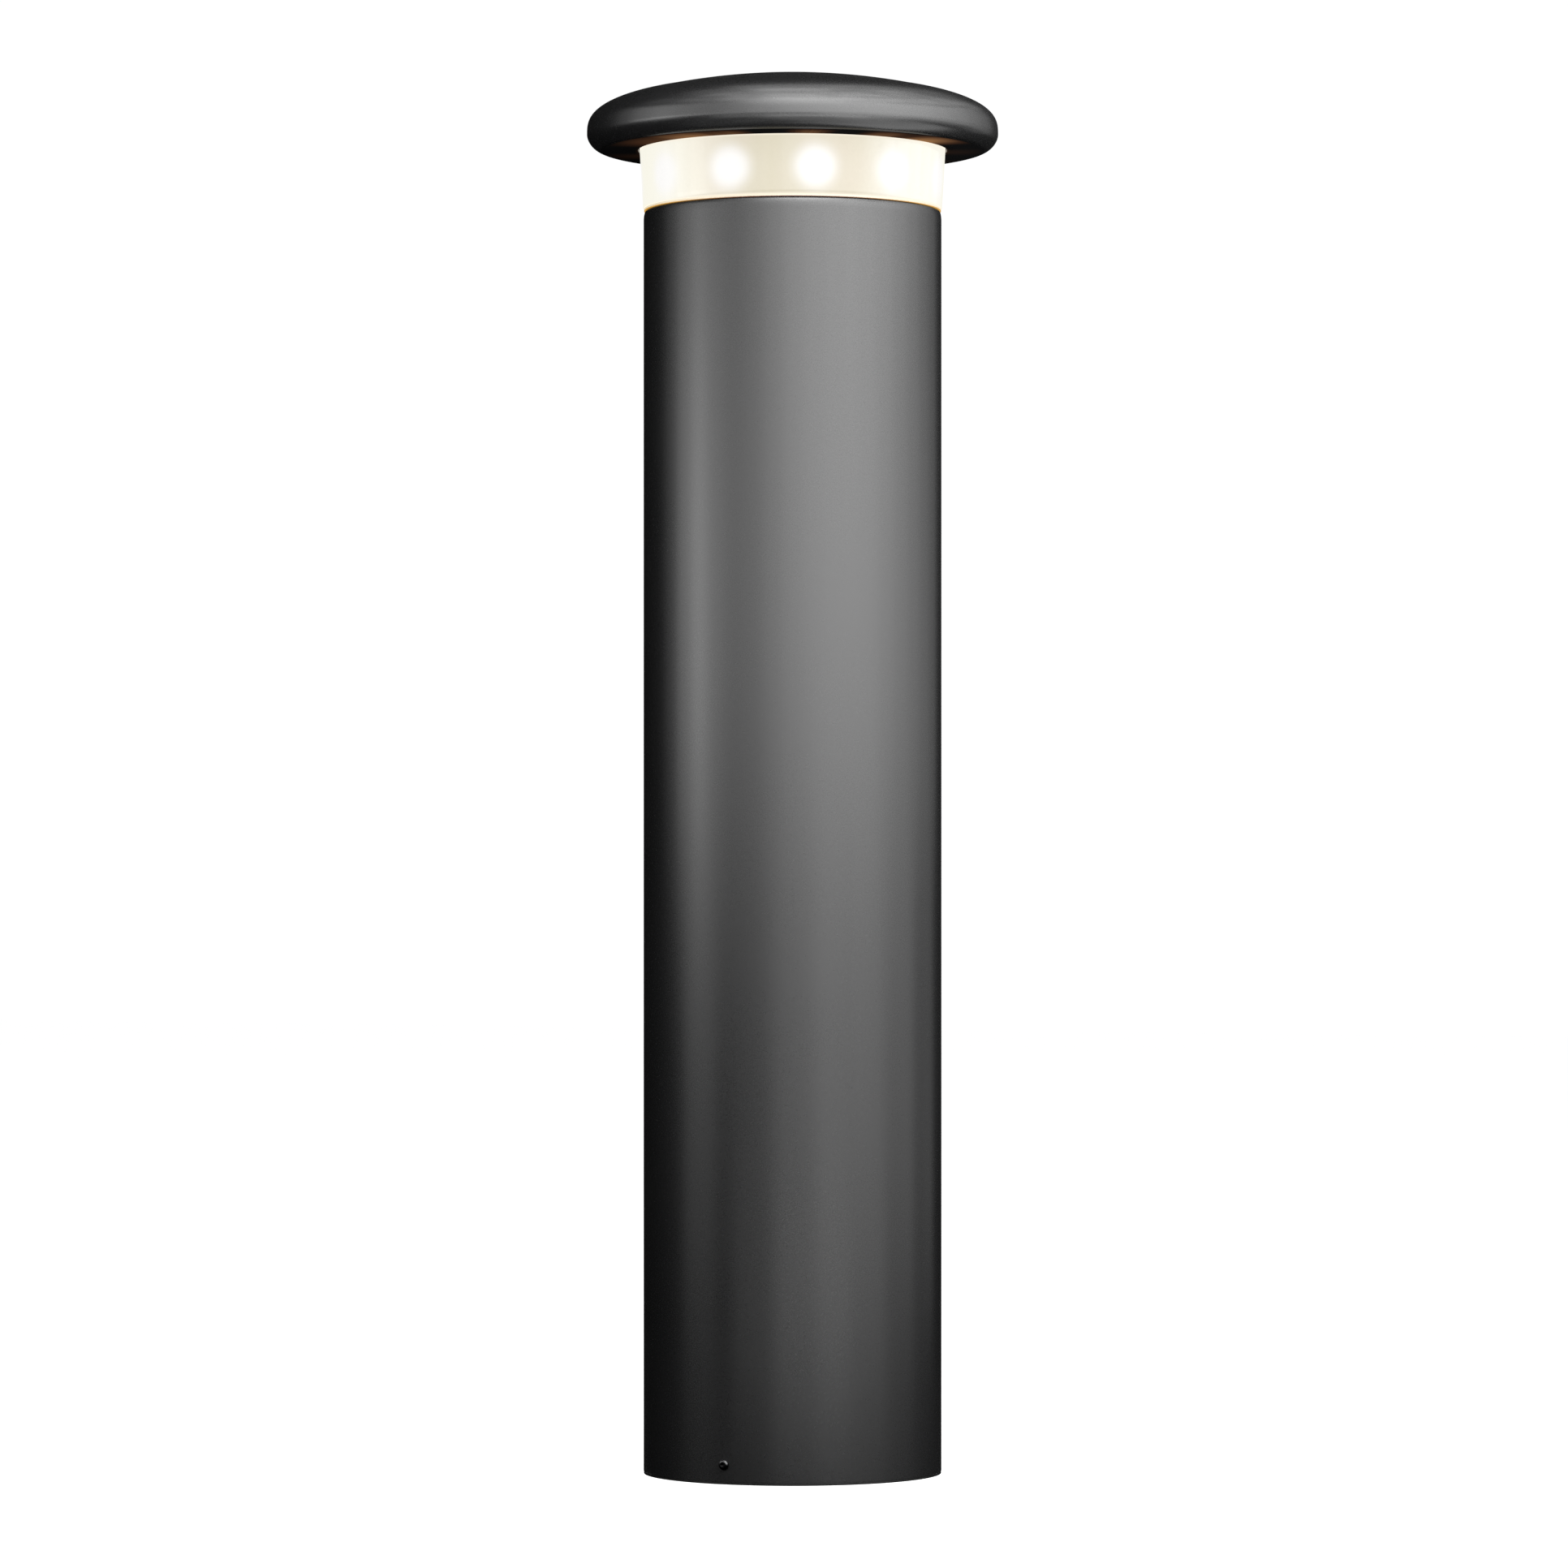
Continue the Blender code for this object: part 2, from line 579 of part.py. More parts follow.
# socket for the lead's plug
sock_z1 = plug_z0 - GAP
put("connector_socket", box(-16, 16, 26, front, sock_z1 - 12, sock_z1, bevel=1.0),
    (rgb("1c1d20"), 0.45, 0.0), smooth=0)
put("earth_stud", along(turned([(0, 0), (4.6, 0), (4.6, 3.2), (2.9, 3.2), (2.9, 18), (0, 18)],
                               seg=12, closed=False), (34, front, 215), (0, -1, 0)),
    (rgb("c9a94b"), 0.35, 1.0), smooth=0)
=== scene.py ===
"""Looks for the bollard light: powder-coated column and cap, lit frosted band,
fasteners and the gear on the base.  Metres, +Z up."""
import math

import bmesh
import bpy
from mathutils import Matrix, Vector


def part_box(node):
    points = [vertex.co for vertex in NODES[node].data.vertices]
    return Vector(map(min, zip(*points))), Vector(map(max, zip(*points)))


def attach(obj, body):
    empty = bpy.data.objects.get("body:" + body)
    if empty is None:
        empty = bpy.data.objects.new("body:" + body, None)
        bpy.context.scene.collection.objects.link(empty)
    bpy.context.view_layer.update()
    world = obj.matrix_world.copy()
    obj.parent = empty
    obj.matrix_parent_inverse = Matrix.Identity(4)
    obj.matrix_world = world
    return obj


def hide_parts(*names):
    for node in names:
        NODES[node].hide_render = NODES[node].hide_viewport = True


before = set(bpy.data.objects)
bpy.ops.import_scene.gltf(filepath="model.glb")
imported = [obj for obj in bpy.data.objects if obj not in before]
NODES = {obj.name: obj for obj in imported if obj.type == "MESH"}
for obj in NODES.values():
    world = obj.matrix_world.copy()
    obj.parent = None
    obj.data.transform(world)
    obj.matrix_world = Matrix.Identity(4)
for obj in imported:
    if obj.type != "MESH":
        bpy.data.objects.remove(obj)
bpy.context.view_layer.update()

MM = 0.001
scene = bpy.context.scene


# =========================================================================
# Mesh helpers (all shapes given in millimetres)
# =========================================================================
def link(obj):
    scene.collection.objects.link(obj)
    return obj


def mesh_object(name, verts, faces, sharp=35.0, smooth=True):
    data = bpy.data.meshes.new(name)
    data.from_pydata([(x * MM, y * MM, z * MM) for x, y, z in verts], [], faces)
    data.validate(clean_customdata=False)
    data.update()
    if smooth:
        data.shade_smooth()
        if sharp:
            data.set_sharp_from_angle(angle=math.radians(sharp))
    return link(bpy.data.objects.new(name, data))


def lathe(profile, seg, closed=True, centre=(0.0, 0.0), phase=0.0):
    """Vertices and faces of a turned solid.  profile runs up the outer side;
    closed rings join their ends, open ones start and end on the axis."""
    verts, rings = [], []
    for r, z in profile:
        if r < 1e-6:
            rings.append([len(verts)])
            verts.append((centre[0], centre[1], z))
            continue
        ring = []
        for i in range(seg):
            a = 2 * math.pi * i / seg + phase
            ring.append(len(verts))
            verts.append((centre[0] + r * math.cos(a), centre[1] + r * math.sin(a), z))
        rings.append(ring)
    faces = []
    n = len(rings)
    pairs = [(k, (k + 1) % n) for k in range(n if closed else n - 1)]
    for k, m in pairs:
        a, b = rings[k], rings[m]
        if len(a) == 1 and len(b) == 1:
            continue
        for i in range(seg):
            j = (i + 1) % seg
            if len(a) == 1:
                faces.append((a[0], b[j], b[i]))
            elif len(b) == 1:
                faces.append((a[i], a[j], b[0]))
            else:
                faces.append((a[i], a[j], b[j], b[i]))
    return verts, faces


def turned(name, profile, seg, closed=True, centre=(0.0, 0.0), sharp=35.0, phase=0.0):
    v, f = lathe(profile, seg, closed, centre, phase)
    return mesh_object(name, v, f, sharp)


def placed(obj, point, direction):
    """Turns a mesh made about +Z so that +Z runs along direction, at point (mm)."""
    rot = Vector((0, 0, 1)).rotation_difference(Vector(direction).normalized())
    obj.data.transform(Matrix.Translation(Vector(point) * MM) @ rot.to_matrix().to_4x4())
    obj.data.update()
    return obj


def rounded_box(name, x0, x1, y0, y1, z0, z1, bevel, segments=3):
    bm = bmesh.new()
    bmesh.ops.create_cube(bm, size=1.0)
    for v in bm.verts:
        v.co.x = (x0 if v.co.x < 0 else x1) * MM
        v.co.y = (y0 if v.co.y < 0 else y1) * MM
        v.co.z = (z0 if v.co.z < 0 else z1) * MM
    if bevel:
        bmesh.ops.bevel(bm, geom=bm.edges[:], offset=bevel * MM, segments=segments,
                        affect='EDGES', profile=0.5)
    return from_bmesh(name, bm)


def from_bmesh(name, bm, sharp=35.0):
    bmesh.ops.recalc_face_normals(bm, faces=bm.faces)
    data = bpy.data.meshes.new(name)
    bm.to_mesh(data)
    bm.free()
    data.shade_smooth()
    data.set_sharp_from_angle(angle=math.radians(sharp))
    return link(bpy.data.objects.new(name, data))


def cut(obj, tools, operation='DIFFERENCE', sharp=35.0):
    """Applies booleans with throwaway tools."""
    for k, tool in enumerate(tools):
        mod = obj.modifiers.new("cut%d" % k, 'BOOLEAN')
        mod.operation = operation
        mod.object = tool
        mod.solver = 'EXACT'
    graph = bpy.context.evaluated_depsgraph_get()
    data = bpy.data.meshes.new_from_object(obj.evaluated_get(graph))
    obj.modifiers.clear()
    old = obj.data
    obj.data = data
    bpy.data.meshes.remove(old)
    for tool in tools:
        bpy.data.objects.remove(tool, do_unlink=True)
    data.shade_smooth()
    data.set_sharp_from_angle(angle=math.radians(sharp))
    return obj


def merged(name, objs, sharp=35.0):
    """One mesh object from several."""
    bm = bmesh.new()
    for o in objs:
        part = o.data.copy()
        part.transform(o.matrix_world)
        bm.from_mesh(part)
        bpy.data.meshes.remove(part)
    for o in objs:
        bpy.data.objects.remove(o, do_unlink=True)
    return from_bmesh(name, bm, sharp)


def polar(r, deg, z=None):
    a = math.radians(deg)
    xy = (r * math.cos(a), r * math.sin(a))
    return xy if z is None else (*xy, z)


def finish(obj, mat, body, slot, *nodes):
    obj.data.materials.clear()
    obj.data.materials.append(mat)
    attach(obj, body)
    if nodes:
        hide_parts(*nodes)
    return obj


# =========================================================================
# Material helpers
# =========================================================================
class Nodes:
    """Small wrapper round a node tree."""

    def __init__(self, name):
        self.mat = bpy.data.materials.new(name)
        self.mat.use_nodes = True
        self.tree = self.mat.node_tree
        self.shader = self.tree.nodes["Principled BSDF"]
        self.coord = self.tree.nodes.new("ShaderNodeTexCoord")

    def new(self, kind, **props):
        node = self.tree.nodes.new(kind)
        for key, value in props.items():
            setattr(node, key, value)
        return node

    def link(self, a, b):
        self.tree.links.new(a, b)

    def value(self, socket, v):
        if isinstance(v, bpy.types.NodeSocket):
            self.link(v, socket)
        else:
            socket.default_value = v

    def set(self, **values):
        for key, v in values.items():
            self.value(self.shader.inputs[key.replace("_", " ")], v)
        return self

    def position(self):
        return self.coord.outputs["Object"]

    def noise(self, scale, detail=3.0, rough=0.5, vector=None, distortion=0.0):
        n = self.new("ShaderNodeTexNoise")
        n.inputs["Scale"].default_value = scale
        n.inputs["Detail"].default_value = detail
        n.inputs["Roughness"].default_value = rough
        n.inputs["Distortion"].default_value = distortion
        self.link(vector or self.position(), n.inputs["Vector"])
        return n.outputs["Fac"]

    def voronoi(self, scale, feature='F1', vector=None, randomness=1.0):
        n = self.new("ShaderNodeTexVoronoi", feature=feature)
        n.inputs["Scale"].default_value = scale
        n.inputs["Randomness"].default_value = randomness
        self.link(vector or self.position(), n.inputs["Vector"])
        return n.outputs["Distance"]

    def math(self, op, a, b=0.0, c=0.0, clamp=False):
        n = self.new("ShaderNodeMath", operation=op, use_clamp=clamp)
        self.value(n.inputs[0], a)
        self.value(n.inputs[1], b)
        if len(n.inputs) > 2:
            self.value(n.inputs[2], c)
        return n.outputs[0]

    def ramp(self, fac, stops, mode='LINEAR'):
        n = self.new("ShaderNodeValToRGB")
        n.color_ramp.interpolation = mode
        el = n.color_ramp.elements
        while len(el) < len(stops):
            el.new(0.5)
        for e, (p, c) in zip(el, stops):
            e.position = p
            e.color = (*c, 1.0) if len(c) == 3 else c
        self.link(fac, n.inputs[0])
        return n.outputs[0]

    def remap(self, v, lo, hi, a=0.0, b=1.0, smooth=False):
        n = self.new("ShaderNodeMapRange")
        if smooth:
            n.interpolation_type = 'SMOOTHSTEP'
        self.value(n.inputs[0], v)
        for k, x in zip((1, 2, 3, 4), (lo, hi, a, b)):
            n.inputs[k].default_value = x
        return n.outputs[0]

    def mix(self, fac, a, b, blend='MIX'):
        n = self.new("ShaderNodeMix", data_type='RGBA', blend_type=blend)
        self.value(n.inputs[0], fac)
        for socket, v in ((n.inputs[6], a), (n.inputs[7], b)):
            if isinstance(v, bpy.types.NodeSocket):
                self.link(v, socket)
            else:
                socket.default_value = (*v, 1.0)
        return n.outputs[2]

    def bump(self, height, strength, distance, normal=None):
        n = self.new("ShaderNodeBump")
        n.inputs["Strength"].default_value = strength
        n.inputs["Distance"].default_value = distance
        self.link(height, n.inputs["Height"])
        if normal is not None:
            self.link(normal, n.inputs["Normal"])
        return n.outputs["Normal"]

    def xyz(self, vector=None):
        n = self.new("ShaderNodeSeparateXYZ")
        self.link(vector or self.position(), n.inputs[0])
        return n.outputs

    def stretched(self, scale):
        """Position scaled per axis, for grain that runs along one way."""
        n = self.new("ShaderNodeVectorMath", operation='MULTIPLY')
        self.link(self.position(), n.inputs[0])
        n.inputs[1].default_value = scale
        return n.outputs[0]


def lin(code):
    out = []
    for i in (0, 2, 4):
        c = int(code[i:i + 2], 16) / 255
        out.append(c / 12.92 if c <= 0.04045 else ((c + 0.055) / 1.055) ** 2.4)
    return tuple(out)


# =========================================================================
# Driving dimensions, read from the frame
# =========================================================================
lo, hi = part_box("column_tube")
COLUMN_R = hi.x / MM if hasattr(hi, "x") else hi[0] / MM
COLUMN_Z0, COLUMN_Z1 = lo[2] / MM, hi[2] / MM
lo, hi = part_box("cap")
CAP_R, CAP_Z0, CAP_APEX = hi[0] / MM, lo[2] / MM, hi[2] / MM
lo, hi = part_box("diffuser")
DIFF_RT, DIFF_Z0, DIFF_Z1 = hi[0] / MM, lo[2] / MM, hi[2] / MM
DIFF_RB = DIFF_RT - 2.6
lo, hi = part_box("foot_gasket")
GASKET_RO, GASKET_Z1 = hi[0] / MM, hi[2] / MM
LED_Z = 949.0
LED_COUNT = 11
LED_FIRST = math.radians(35.4 - 90.0)
LED_STEP = 2 * math.pi / LED_COUNT
FIX_ANGLES = (-90.0, 90.0)
ANCHOR_ANGLES = (-30.0, 90.0, 210.0)
FIX_Z = 14.3
VIEW_AZ = math.radians(26.8)
FRONT_ANGLE = VIEW_AZ - math.pi / 2     # polar angle of the side shown from the front


# warm pools of light on the cap's underside: angle from the front, half
# width (degrees) and strength
GLOW_POOLS = ((-58.0, 21.0, 0.20), (-38.0, 17.0, 0.56), (-21.2, 8.6, 0.27), (6.0, 9.4, 0.31),
              (33.0, 11.5, 0.34), (55.0, 17.0, 0.66), (92.0, 12.0, 0.03), (124.0, 12.0, 0.03),
              (157.0, 12.0, 0.03), (-170.0, 12.0, 0.03), (-138.0, 12.0, 0.03), (-105.0, 12.0, 0.03))


# =========================================================================
# Materials
# =========================================================================
def powder_coat(name, glow=False):
    """Graphite fine-texture powder coat: satin film with a fine pebble, faint
    cloudiness.  glow adds the lamps' warm light on the cap's underside."""
    n = Nodes(name)
    fine = n.noise(1500.0, 2.0, 0.55)
    grit = n.noise(700.0, 3.0, 0.6)
    cloud = n.noise(9.0, 4.0, 0.55)
    tone = n.ramp(cloud, [(0.25, (0.0027, 0.0027, 0.0028)), (0.75, (0.0034, 0.0034, 0.0035))])
    tone = n.mix(n.remap(grit, 0.35, 0.7, 0.0, 0.4), tone, (0.0050, 0.0050, 0.0052))
    rough = n.math("ADD", n.remap(cloud, 0.3, 0.7, 0.272, 0.282),
                   n.remap(grit, 0.3, 0.7, -0.008, 0.011))
    height = n.math('ADD', n.math('MULTIPLY', fine, 0.55), n.math('MULTIPLY', grit, 0.6))
    normal = n.bump(height, 0.035, 0.00025)
    n.set(Base_Color=tone, Roughness=rough, Normal=normal, Specular_IOR_Level=0.5)
    if glow:
        x, y, z = n.xyz()
        radius = n.math('SQRT', n.math('ADD', n.math('MULTIPLY', x, x), n.math('MULTIPLY', y, y)))
        angle = n.math('ARCTAN2', y, x)
        turn = n.new("ShaderNodeMath", operation='WRAP')
        n.value(turn.inputs[0], n.math('SUBTRACT', angle, FRONT_ANGLE))
        turn.inputs[1].default_value = math.pi
        turn.inputs[2].default_value = -math.pi
        rel = turn.outputs[0]
        # pools of light: (angle from the front, half width, strength), degrees
        lobes = None
        for at, half, power in GLOW_POOLS:
            off = n.math('ABSOLUTE', n.math('SUBTRACT', rel, math.radians(at)))
            pool = n.remap(off, 0.0, math.radians(half), power, 0.0, smooth=True)
            lobes = pool if lobes is None else n.math('ADD', lobes, pool)
        # light fades outwards from the band and ends where the rim turns up
        fall = n.math('POWER', n.remap(radius, 0.1136, 0.1395, 1.0, 0.0), 0.55)
        lip = n.math('POWER', n.remap(radius, 0.1134, 0.1162, 1.0, 0.0), 1.6)
        # fine streaks running outwards
        ring = n.new("ShaderNodeCombineXYZ")
        n.link(n.math('MULTIPLY', angle, 70.0), ring.inputs[0])
        n.link(n.math('MULTIPLY', radius, 14.0), ring.inputs[1])
        streak = n.noise(1.0, 3.0, 0.65, vector=ring.outputs[0])
        streak = n.remap(streak, 0.36, 0.64, 0.72, 1.12)
        under = n.math('LESS_THAN', z, (CAP_Z0 + 1.6) * MM)
        amount = n.math('MULTIPLY', n.math('MULTIPLY', lobes, fall), streak)
        amount = n.math('ADD', amount, n.math('MULTIPLY', n.math('MULTIPLY', lip, lobes), 0.45))
        amount = n.math('ADD', amount, n.math('MULTIPLY', lip, 0.035))
        amount = n.math('MULTIPLY', amount, under)
        glow_col = n.ramp(amount, [(0.0, (0.0, 0.0, 0.0)), (0.10, (0.034, 0.013, 0.005)),
                                   (0.30, (0.125, 0.058, 0.024)), (0.55, (0.27, 0.130, 0.050)),
                                   (1.0, (0.62, 0.36, 0.16))])
        flat = n.remap(z, (CAP_Z0 + 0.15) * MM, (CAP_Z0 + 1.2) * MM)
        n.set(Emission_Color=glow_col, Emission_Strength=1.0,
              Specular_IOR_Level=n.math('MULTIPLY', flat, 0.5))
    return n.mat


def frosted_band(name):
    """Opal frosted plastic lit by a ring of lamps behind it."""
    n = Nodes(name)
    x, y, z = n.xyz()
    angle = n.math('ARCTAN2', y, x)
    turn = n.math('DIVIDE', n.math('SUBTRACT', angle, LED_FIRST), LED_STEP)
    part = n.math('FRACT', n.math('ADD', turn, 20.5))
    arc = n.math('MULTIPLY', n.math('SUBTRACT', part, 0.5), float(LED_STEP * 0.111))
    dz = n.math('SUBTRACT', z, LED_Z * MM)
    dist = n.math('SQRT', n.math('ADD', n.math('MULTIPLY', arc, arc), n.math('MULTIPLY', dz, dz)))
    grain = n.noise(420.0, 2.0, 0.5)
    dist = n.math('ADD', dist, n.remap(grain, 0.3, 0.7, -0.0003, 0.0003))
    spot = n.ramp(n.remap(dist, 0.0, 0.036),
                  [(0.0, (1.0, 1.0, 1.0)), (0.24, (0.98, 0.98, 0.98)), (0.36, (0.72, 0.72, 0.72)),
                   (0.47, (0.30, 0.30, 0.30)), (0.60, (0.08, 0.08, 0.08)), (1.0, (0.0, 0.0, 0.0))],
                  'B_SPLINE')
    cloud = n.noise(16.0, 2.0, 0.5)
    body = n.mix(n.remap(cloud, 0.35, 0.65), (0.655, 0.600, 0.455), (0.690, 0.605, 0.485))
    # painted reflection: away from the front the band is painted paler, standing in for the studio lights' reflection
    # on its sides
    side = n.math('ABSOLUTE', n.math('SINE', n.math('SUBTRACT', angle, FRONT_ANGLE)))
    body = n.mix(n.remap(side, 0.30, 0.88, smooth=True), body, (0.925, 0.905, 0.800))
    colour = n.mix(spot, body, (0.94, 0.93, 0.92))
    # thin brighter lines where the band's edges pass the light out
    height = n.math('MULTIPLY', n.math('SUBTRACT', z, DIFF_Z0 * MM), 1000.0)
    low = n.remap(height, 0.2, 1.2, 1.0, 0.0, smooth=True)
    high = n.remap(height, 41.0, 42.4, 0.0, 1.0, smooth=True)
    rim = n.math('MAXIMUM', low, high)
    colour = n.mix(n.math('MULTIPLY', rim, 0.6), colour, (0.98, 0.90, 0.76))
    tint = n.mix(n.remap(grain, 0.3, 0.7), (0.020, 0.019, 0.016), (0.030, 0.028, 0.024))
    n.set(Base_Color=tint, Emission_Color=colour,
          Emission_Strength=1.0, Roughness=n.remap(grain, 0.3, 0.7, 0.11, 0.15),
          Specular_IOR_Level=0.22, Normal=n.bump(grain, 0.03, 0.0002))
    return n.mat


def lit_silicone(name):
    """Translucent seal that carries the band's light down to the column."""
    n = Nodes(name)
    x, y, z = n.xyz()
    grain = n.noise(700.0, 3.0, 0.6)
    level = n.remap(z, COLUMN_Z1 * MM, DIFF_Z0 * MM)
    level = n.math('ADD', level, n.remap(grain, 0.3, 0.7, -0.06, 0.06))
    side = n.math('ABSOLUTE', n.math('SINE', n.math('SUBTRACT', n.math('ARCTAN2', y, x), FRONT_ANGLE)))
    # a thin line at the foot of the seal: dim red in front, golden at the sides
    line = n.ramp(side, [(0.10, (0.10, 0.020, 0.012)), (0.45, (0.20, 0.075, 0.020)),
                         (0.85, (0.62, 0.33, 0.06))])
    colour = n.mix(n.remap(level, 0.08, 0.36, smooth=True), line, (0.74, 0.66, 0.50))
    n.set(Base_Color=n.mix(n.remap(grain, 0.3, 0.7), (0.06, 0.05, 0.04), (0.08, 0.065, 0.05)),
          Emission_Color=colour, Emission_Strength=1.0, Roughness=n.remap(grain, 0.3, 0.7, 0.4, 0.55))
    return n.mat


def foot_ring(name):
    """Black foot seal: a pressed satin side above a dull lip on the ground."""
    n = Nodes(name)
    x, y, z = n.xyz()
    grain = n.noise(900.0, 3.0, 0.6)
    edge = n.math('ADD', z, n.remap(grain, 0.3, 0.7, -0.00012, 0.00012))
    n.set(Base_Color=n.mix(n.remap(grain, 0.3, 0.7), (0.0026, 0.0026, 0.0027), (0.0042, 0.0042, 0.0043)),
          Roughness=n.remap(edge, 0.0007, 0.0011, 0.75, 0.28),
          Specular_IOR_Level=n.remap(edge, 0.0007, 0.0011, 0.12, 0.5),
          Normal=n.bump(grain, 0.06, 0.0002))
    return n.mat


def rubber(name, shade=0.012, sheen=0.5):
    n = Nodes(name)
    grain = n.noise(900.0, 3.0, 0.6)
    patch = n.noise(40.0, 3.0, 0.5)
    tone = n.ramp(patch, [(0.3, (shade * 0.8,) * 3), (0.7, (shade * 1.35, shade * 1.3, shade * 1.25))])
    n.set(Base_Color=tone, Roughness=n.remap(grain, 0.3, 0.7, 0.7, 0.88),
          Specular_IOR_Level=sheen, Normal=n.bump(grain, 0.2, 0.0003))
    return n.mat


def metal(name, colour, rough=0.3, grain_scale=(40.0, 40.0, 900.0), depth=0.08,
          tint=0.85, metallic=1.0):
    """Metal with directional grain, clouded roughness and small pits."""
    n = Nodes(name)
    lines = n.noise(1.0, 4.0, 0.6, vector=n.stretched(grain_scale))
    cloud = n.noise(28.0, 4.0, 0.55)
    pits = n.voronoi(260.0)
    dark = tuple(c * tint for c in colour)
    tone = n.mix(n.remap(cloud, 0.3, 0.7), colour, dark)
    tone = n.mix(n.remap(lines, 0.35, 0.65, 0.0, 0.3), tone, tuple(c * tint * 0.9 for c in colour))
    tone = n.mix(n.remap(pits, 0.0, 0.06, 0.4, 0.0), tone, tuple(c * 0.4 for c in colour))
    r = n.math('ADD', n.remap(cloud, 0.3, 0.7, rough - 0.05, rough + 0.08),
               n.remap(lines, 0.3, 0.7, -0.04, 0.05))
    n.set(Base_Color=tone, Metallic=metallic, Roughness=r, Normal=n.bump(lines, depth, 0.0003))
    return n.mat


def galvanised(name):
    """Zinc-plated sheet: soft crystal patches and fine rolling lines."""
    n = Nodes(name)
    cells = n.voronoi(95.0)
    tone = n.ramp(cells, [(0.1, (0.50, 0.52, 0.54)), (0.6, (0.38, 0.40, 0.42))])
    cloud = n.noise(14.0, 4.0, 0.6)
    tone = n.mix(n.remap(cloud, 0.35, 0.7, 0.0, 0.5), tone, (0.42, 0.43, 0.43))
    lines = n.noise(1.0, 3.0, 0.6, vector=n.stretched((900.0, 30.0, 30.0)))
    n.set(Base_Color=tone, Metallic=1.0,
          Roughness=n.math('ADD', n.remap(cells, 0.1, 0.6, 0.28, 0.42),
                           n.remap(lines, 0.3, 0.7, -0.03, 0.04)),
          Normal=n.bump(lines, 0.08, 0.0003))
    return n.mat


def plastic(name, colour, rough=0.42, grain=700.0, depth=0.12, variation=0.86, gloss=0.5):
    """Moulded plastic with a spark-eroded grain and slight flow shading."""
    n = Nodes(name)
    spark = n.noise(grain, 3.0, 0.6)
    flow = n.noise(22.0, 3.0, 0.5)
    tone = n.mix(n.remap(flow, 0.3, 0.7), colour, tuple(c * variation for c in colour))
    tone = n.mix(n.remap(spark, 0.3, 0.7, 0.0, 0.12), tone, tuple(c * 0.6 for c in colour))
    n.set(Base_Color=tone, Roughness=n.remap(spark, 0.3, 0.7, rough - 0.05, rough + 0.07),
          Specular_IOR_Level=gloss, Normal=n.bump(spark, depth, 0.00025))
    return n.mat


COAT = powder_coat("graphite_powder_coat")
COAT_CAP = powder_coat("graphite_powder_coat_lit", glow=True)
BAND = frosted_band("lit_frosted_band")
RUBBER = rubber("epdm_rubber")
FOOT_RUBBER = foot_ring("foot_rubber")
SEAL = lit_silicone("lit_silicone_seal")
BLACK_STEEL = metal("black_oxide_steel", (0.045, 0.045, 0.046), 0.14, (300.0, 300.0, 300.0), 0.03)
BARE_ALU = metal("machined_aluminium", (0.62, 0.63, 0.64), 0.34, (300.0, 300.0, 1400.0), 0.10)
TURNED_ALU = metal("faced_aluminium", (0.60, 0.61, 0.62), 0.32, (220.0, 220.0, 500.0), 0.08)
STAINLESS = metal("stainless_steel", (0.55, 0.55, 0.54), 0.26, (500.0, 500.0, 500.0), 0.06)
ZINC = galvanised("zinc_plated_sheet")
ZINC_BOLT = metal("zinc_plated_bolt", (0.55, 0.56, 0.57), 0.30, (500.0, 500.0, 120.0), 0.07)
BRASS = metal("turned_brass", (0.72, 0.50, 0.20), 0.28, (400.0, 1400.0, 400.0), 0.08)
GREY_BOX = plastic("moulded_grey", lin("9b9fa2"), 0.45)
LID_GREY = plastic("moulded_pale_grey", lin("adb1b4"), 0.42)
DRIVER_WHITE = plastic("moulded_off_white", lin("e2e2dd"), 0.38, variation=0.93)
NYLON = plastic("natural_nylon", lin("e9e5d8"), 0.4, variation=0.9)
BLACK_PLASTIC = plastic("black_nylon", (0.016, 0.016, 0.018), 0.4)
CABLE = plastic("cable_sheath", (0.014, 0.014, 0.015), 0.5, grain=1200.0, depth=0.06)
BOARD = plastic("solder_mask_white", lin("e4e3da"), 0.35, variation=0.95)


# =========================================================================
# Column
# =========================================================================
INNER_R = COLUMN_R - 4.5
profile = [(INNER_R, COLUMN_Z0 + 0.4), (INNER_R + 0.4, COLUMN_Z0), (COLUMN_R - 0.10, COLUMN_Z0),
           (COLUMN_R - 0.03, COLUMN_Z0 + 0.03), (COLUMN_R, COLUMN_Z0 + 0.10)]
profile += [(COLUMN_R, z) for z in (COLUMN_Z0 + 0.14, COLUMN_Z0 + 0.25, 7.0, 21.0, 60.0, 200.0, 400.0, 600.0, 800.0, 900.0, 918.0)]
for i in range(19):
    t = math.pi / 2 * i / 18
    profile.append((COLUMN_R - 1.9 * (1 - math.cos(t)), COLUMN_Z1 - 7.0 * (1 - math.sin(t))))
profile += [(INNER_R + 0.4, COLUMN_Z1), (INNER_R, COLUMN_Z1 - 0.4),
            (INNER_R, 800.0), (INNER_R, 400.0), (INNER_R, 60.0), (INNER_R, 21.0), (INNER_R, 7.0)]
column = turned("column_tube_fine", profile, 256, sharp=30.0)
holes = [placed(turned("hole%d" % k, [(0, 96), (2.35, 96), (2.35, 118), (0, 118)], 32,
                       closed=False), (0, 0, FIX_Z), (*polar(1, a), 0))
         for k, a in enumerate(FIX_ANGLES)]
cut(column, holes, sharp=30.0)
finish(column, COAT, "column", "powder_coat", "column_tube")


# =========================================================================
# Cap
# =========================================================================
CROWN_R, FLAT_R, WIDE_Z = 108.8, 138.6, 983.9


def crown(r):
    return CAP_APEX - r * r / 944.0


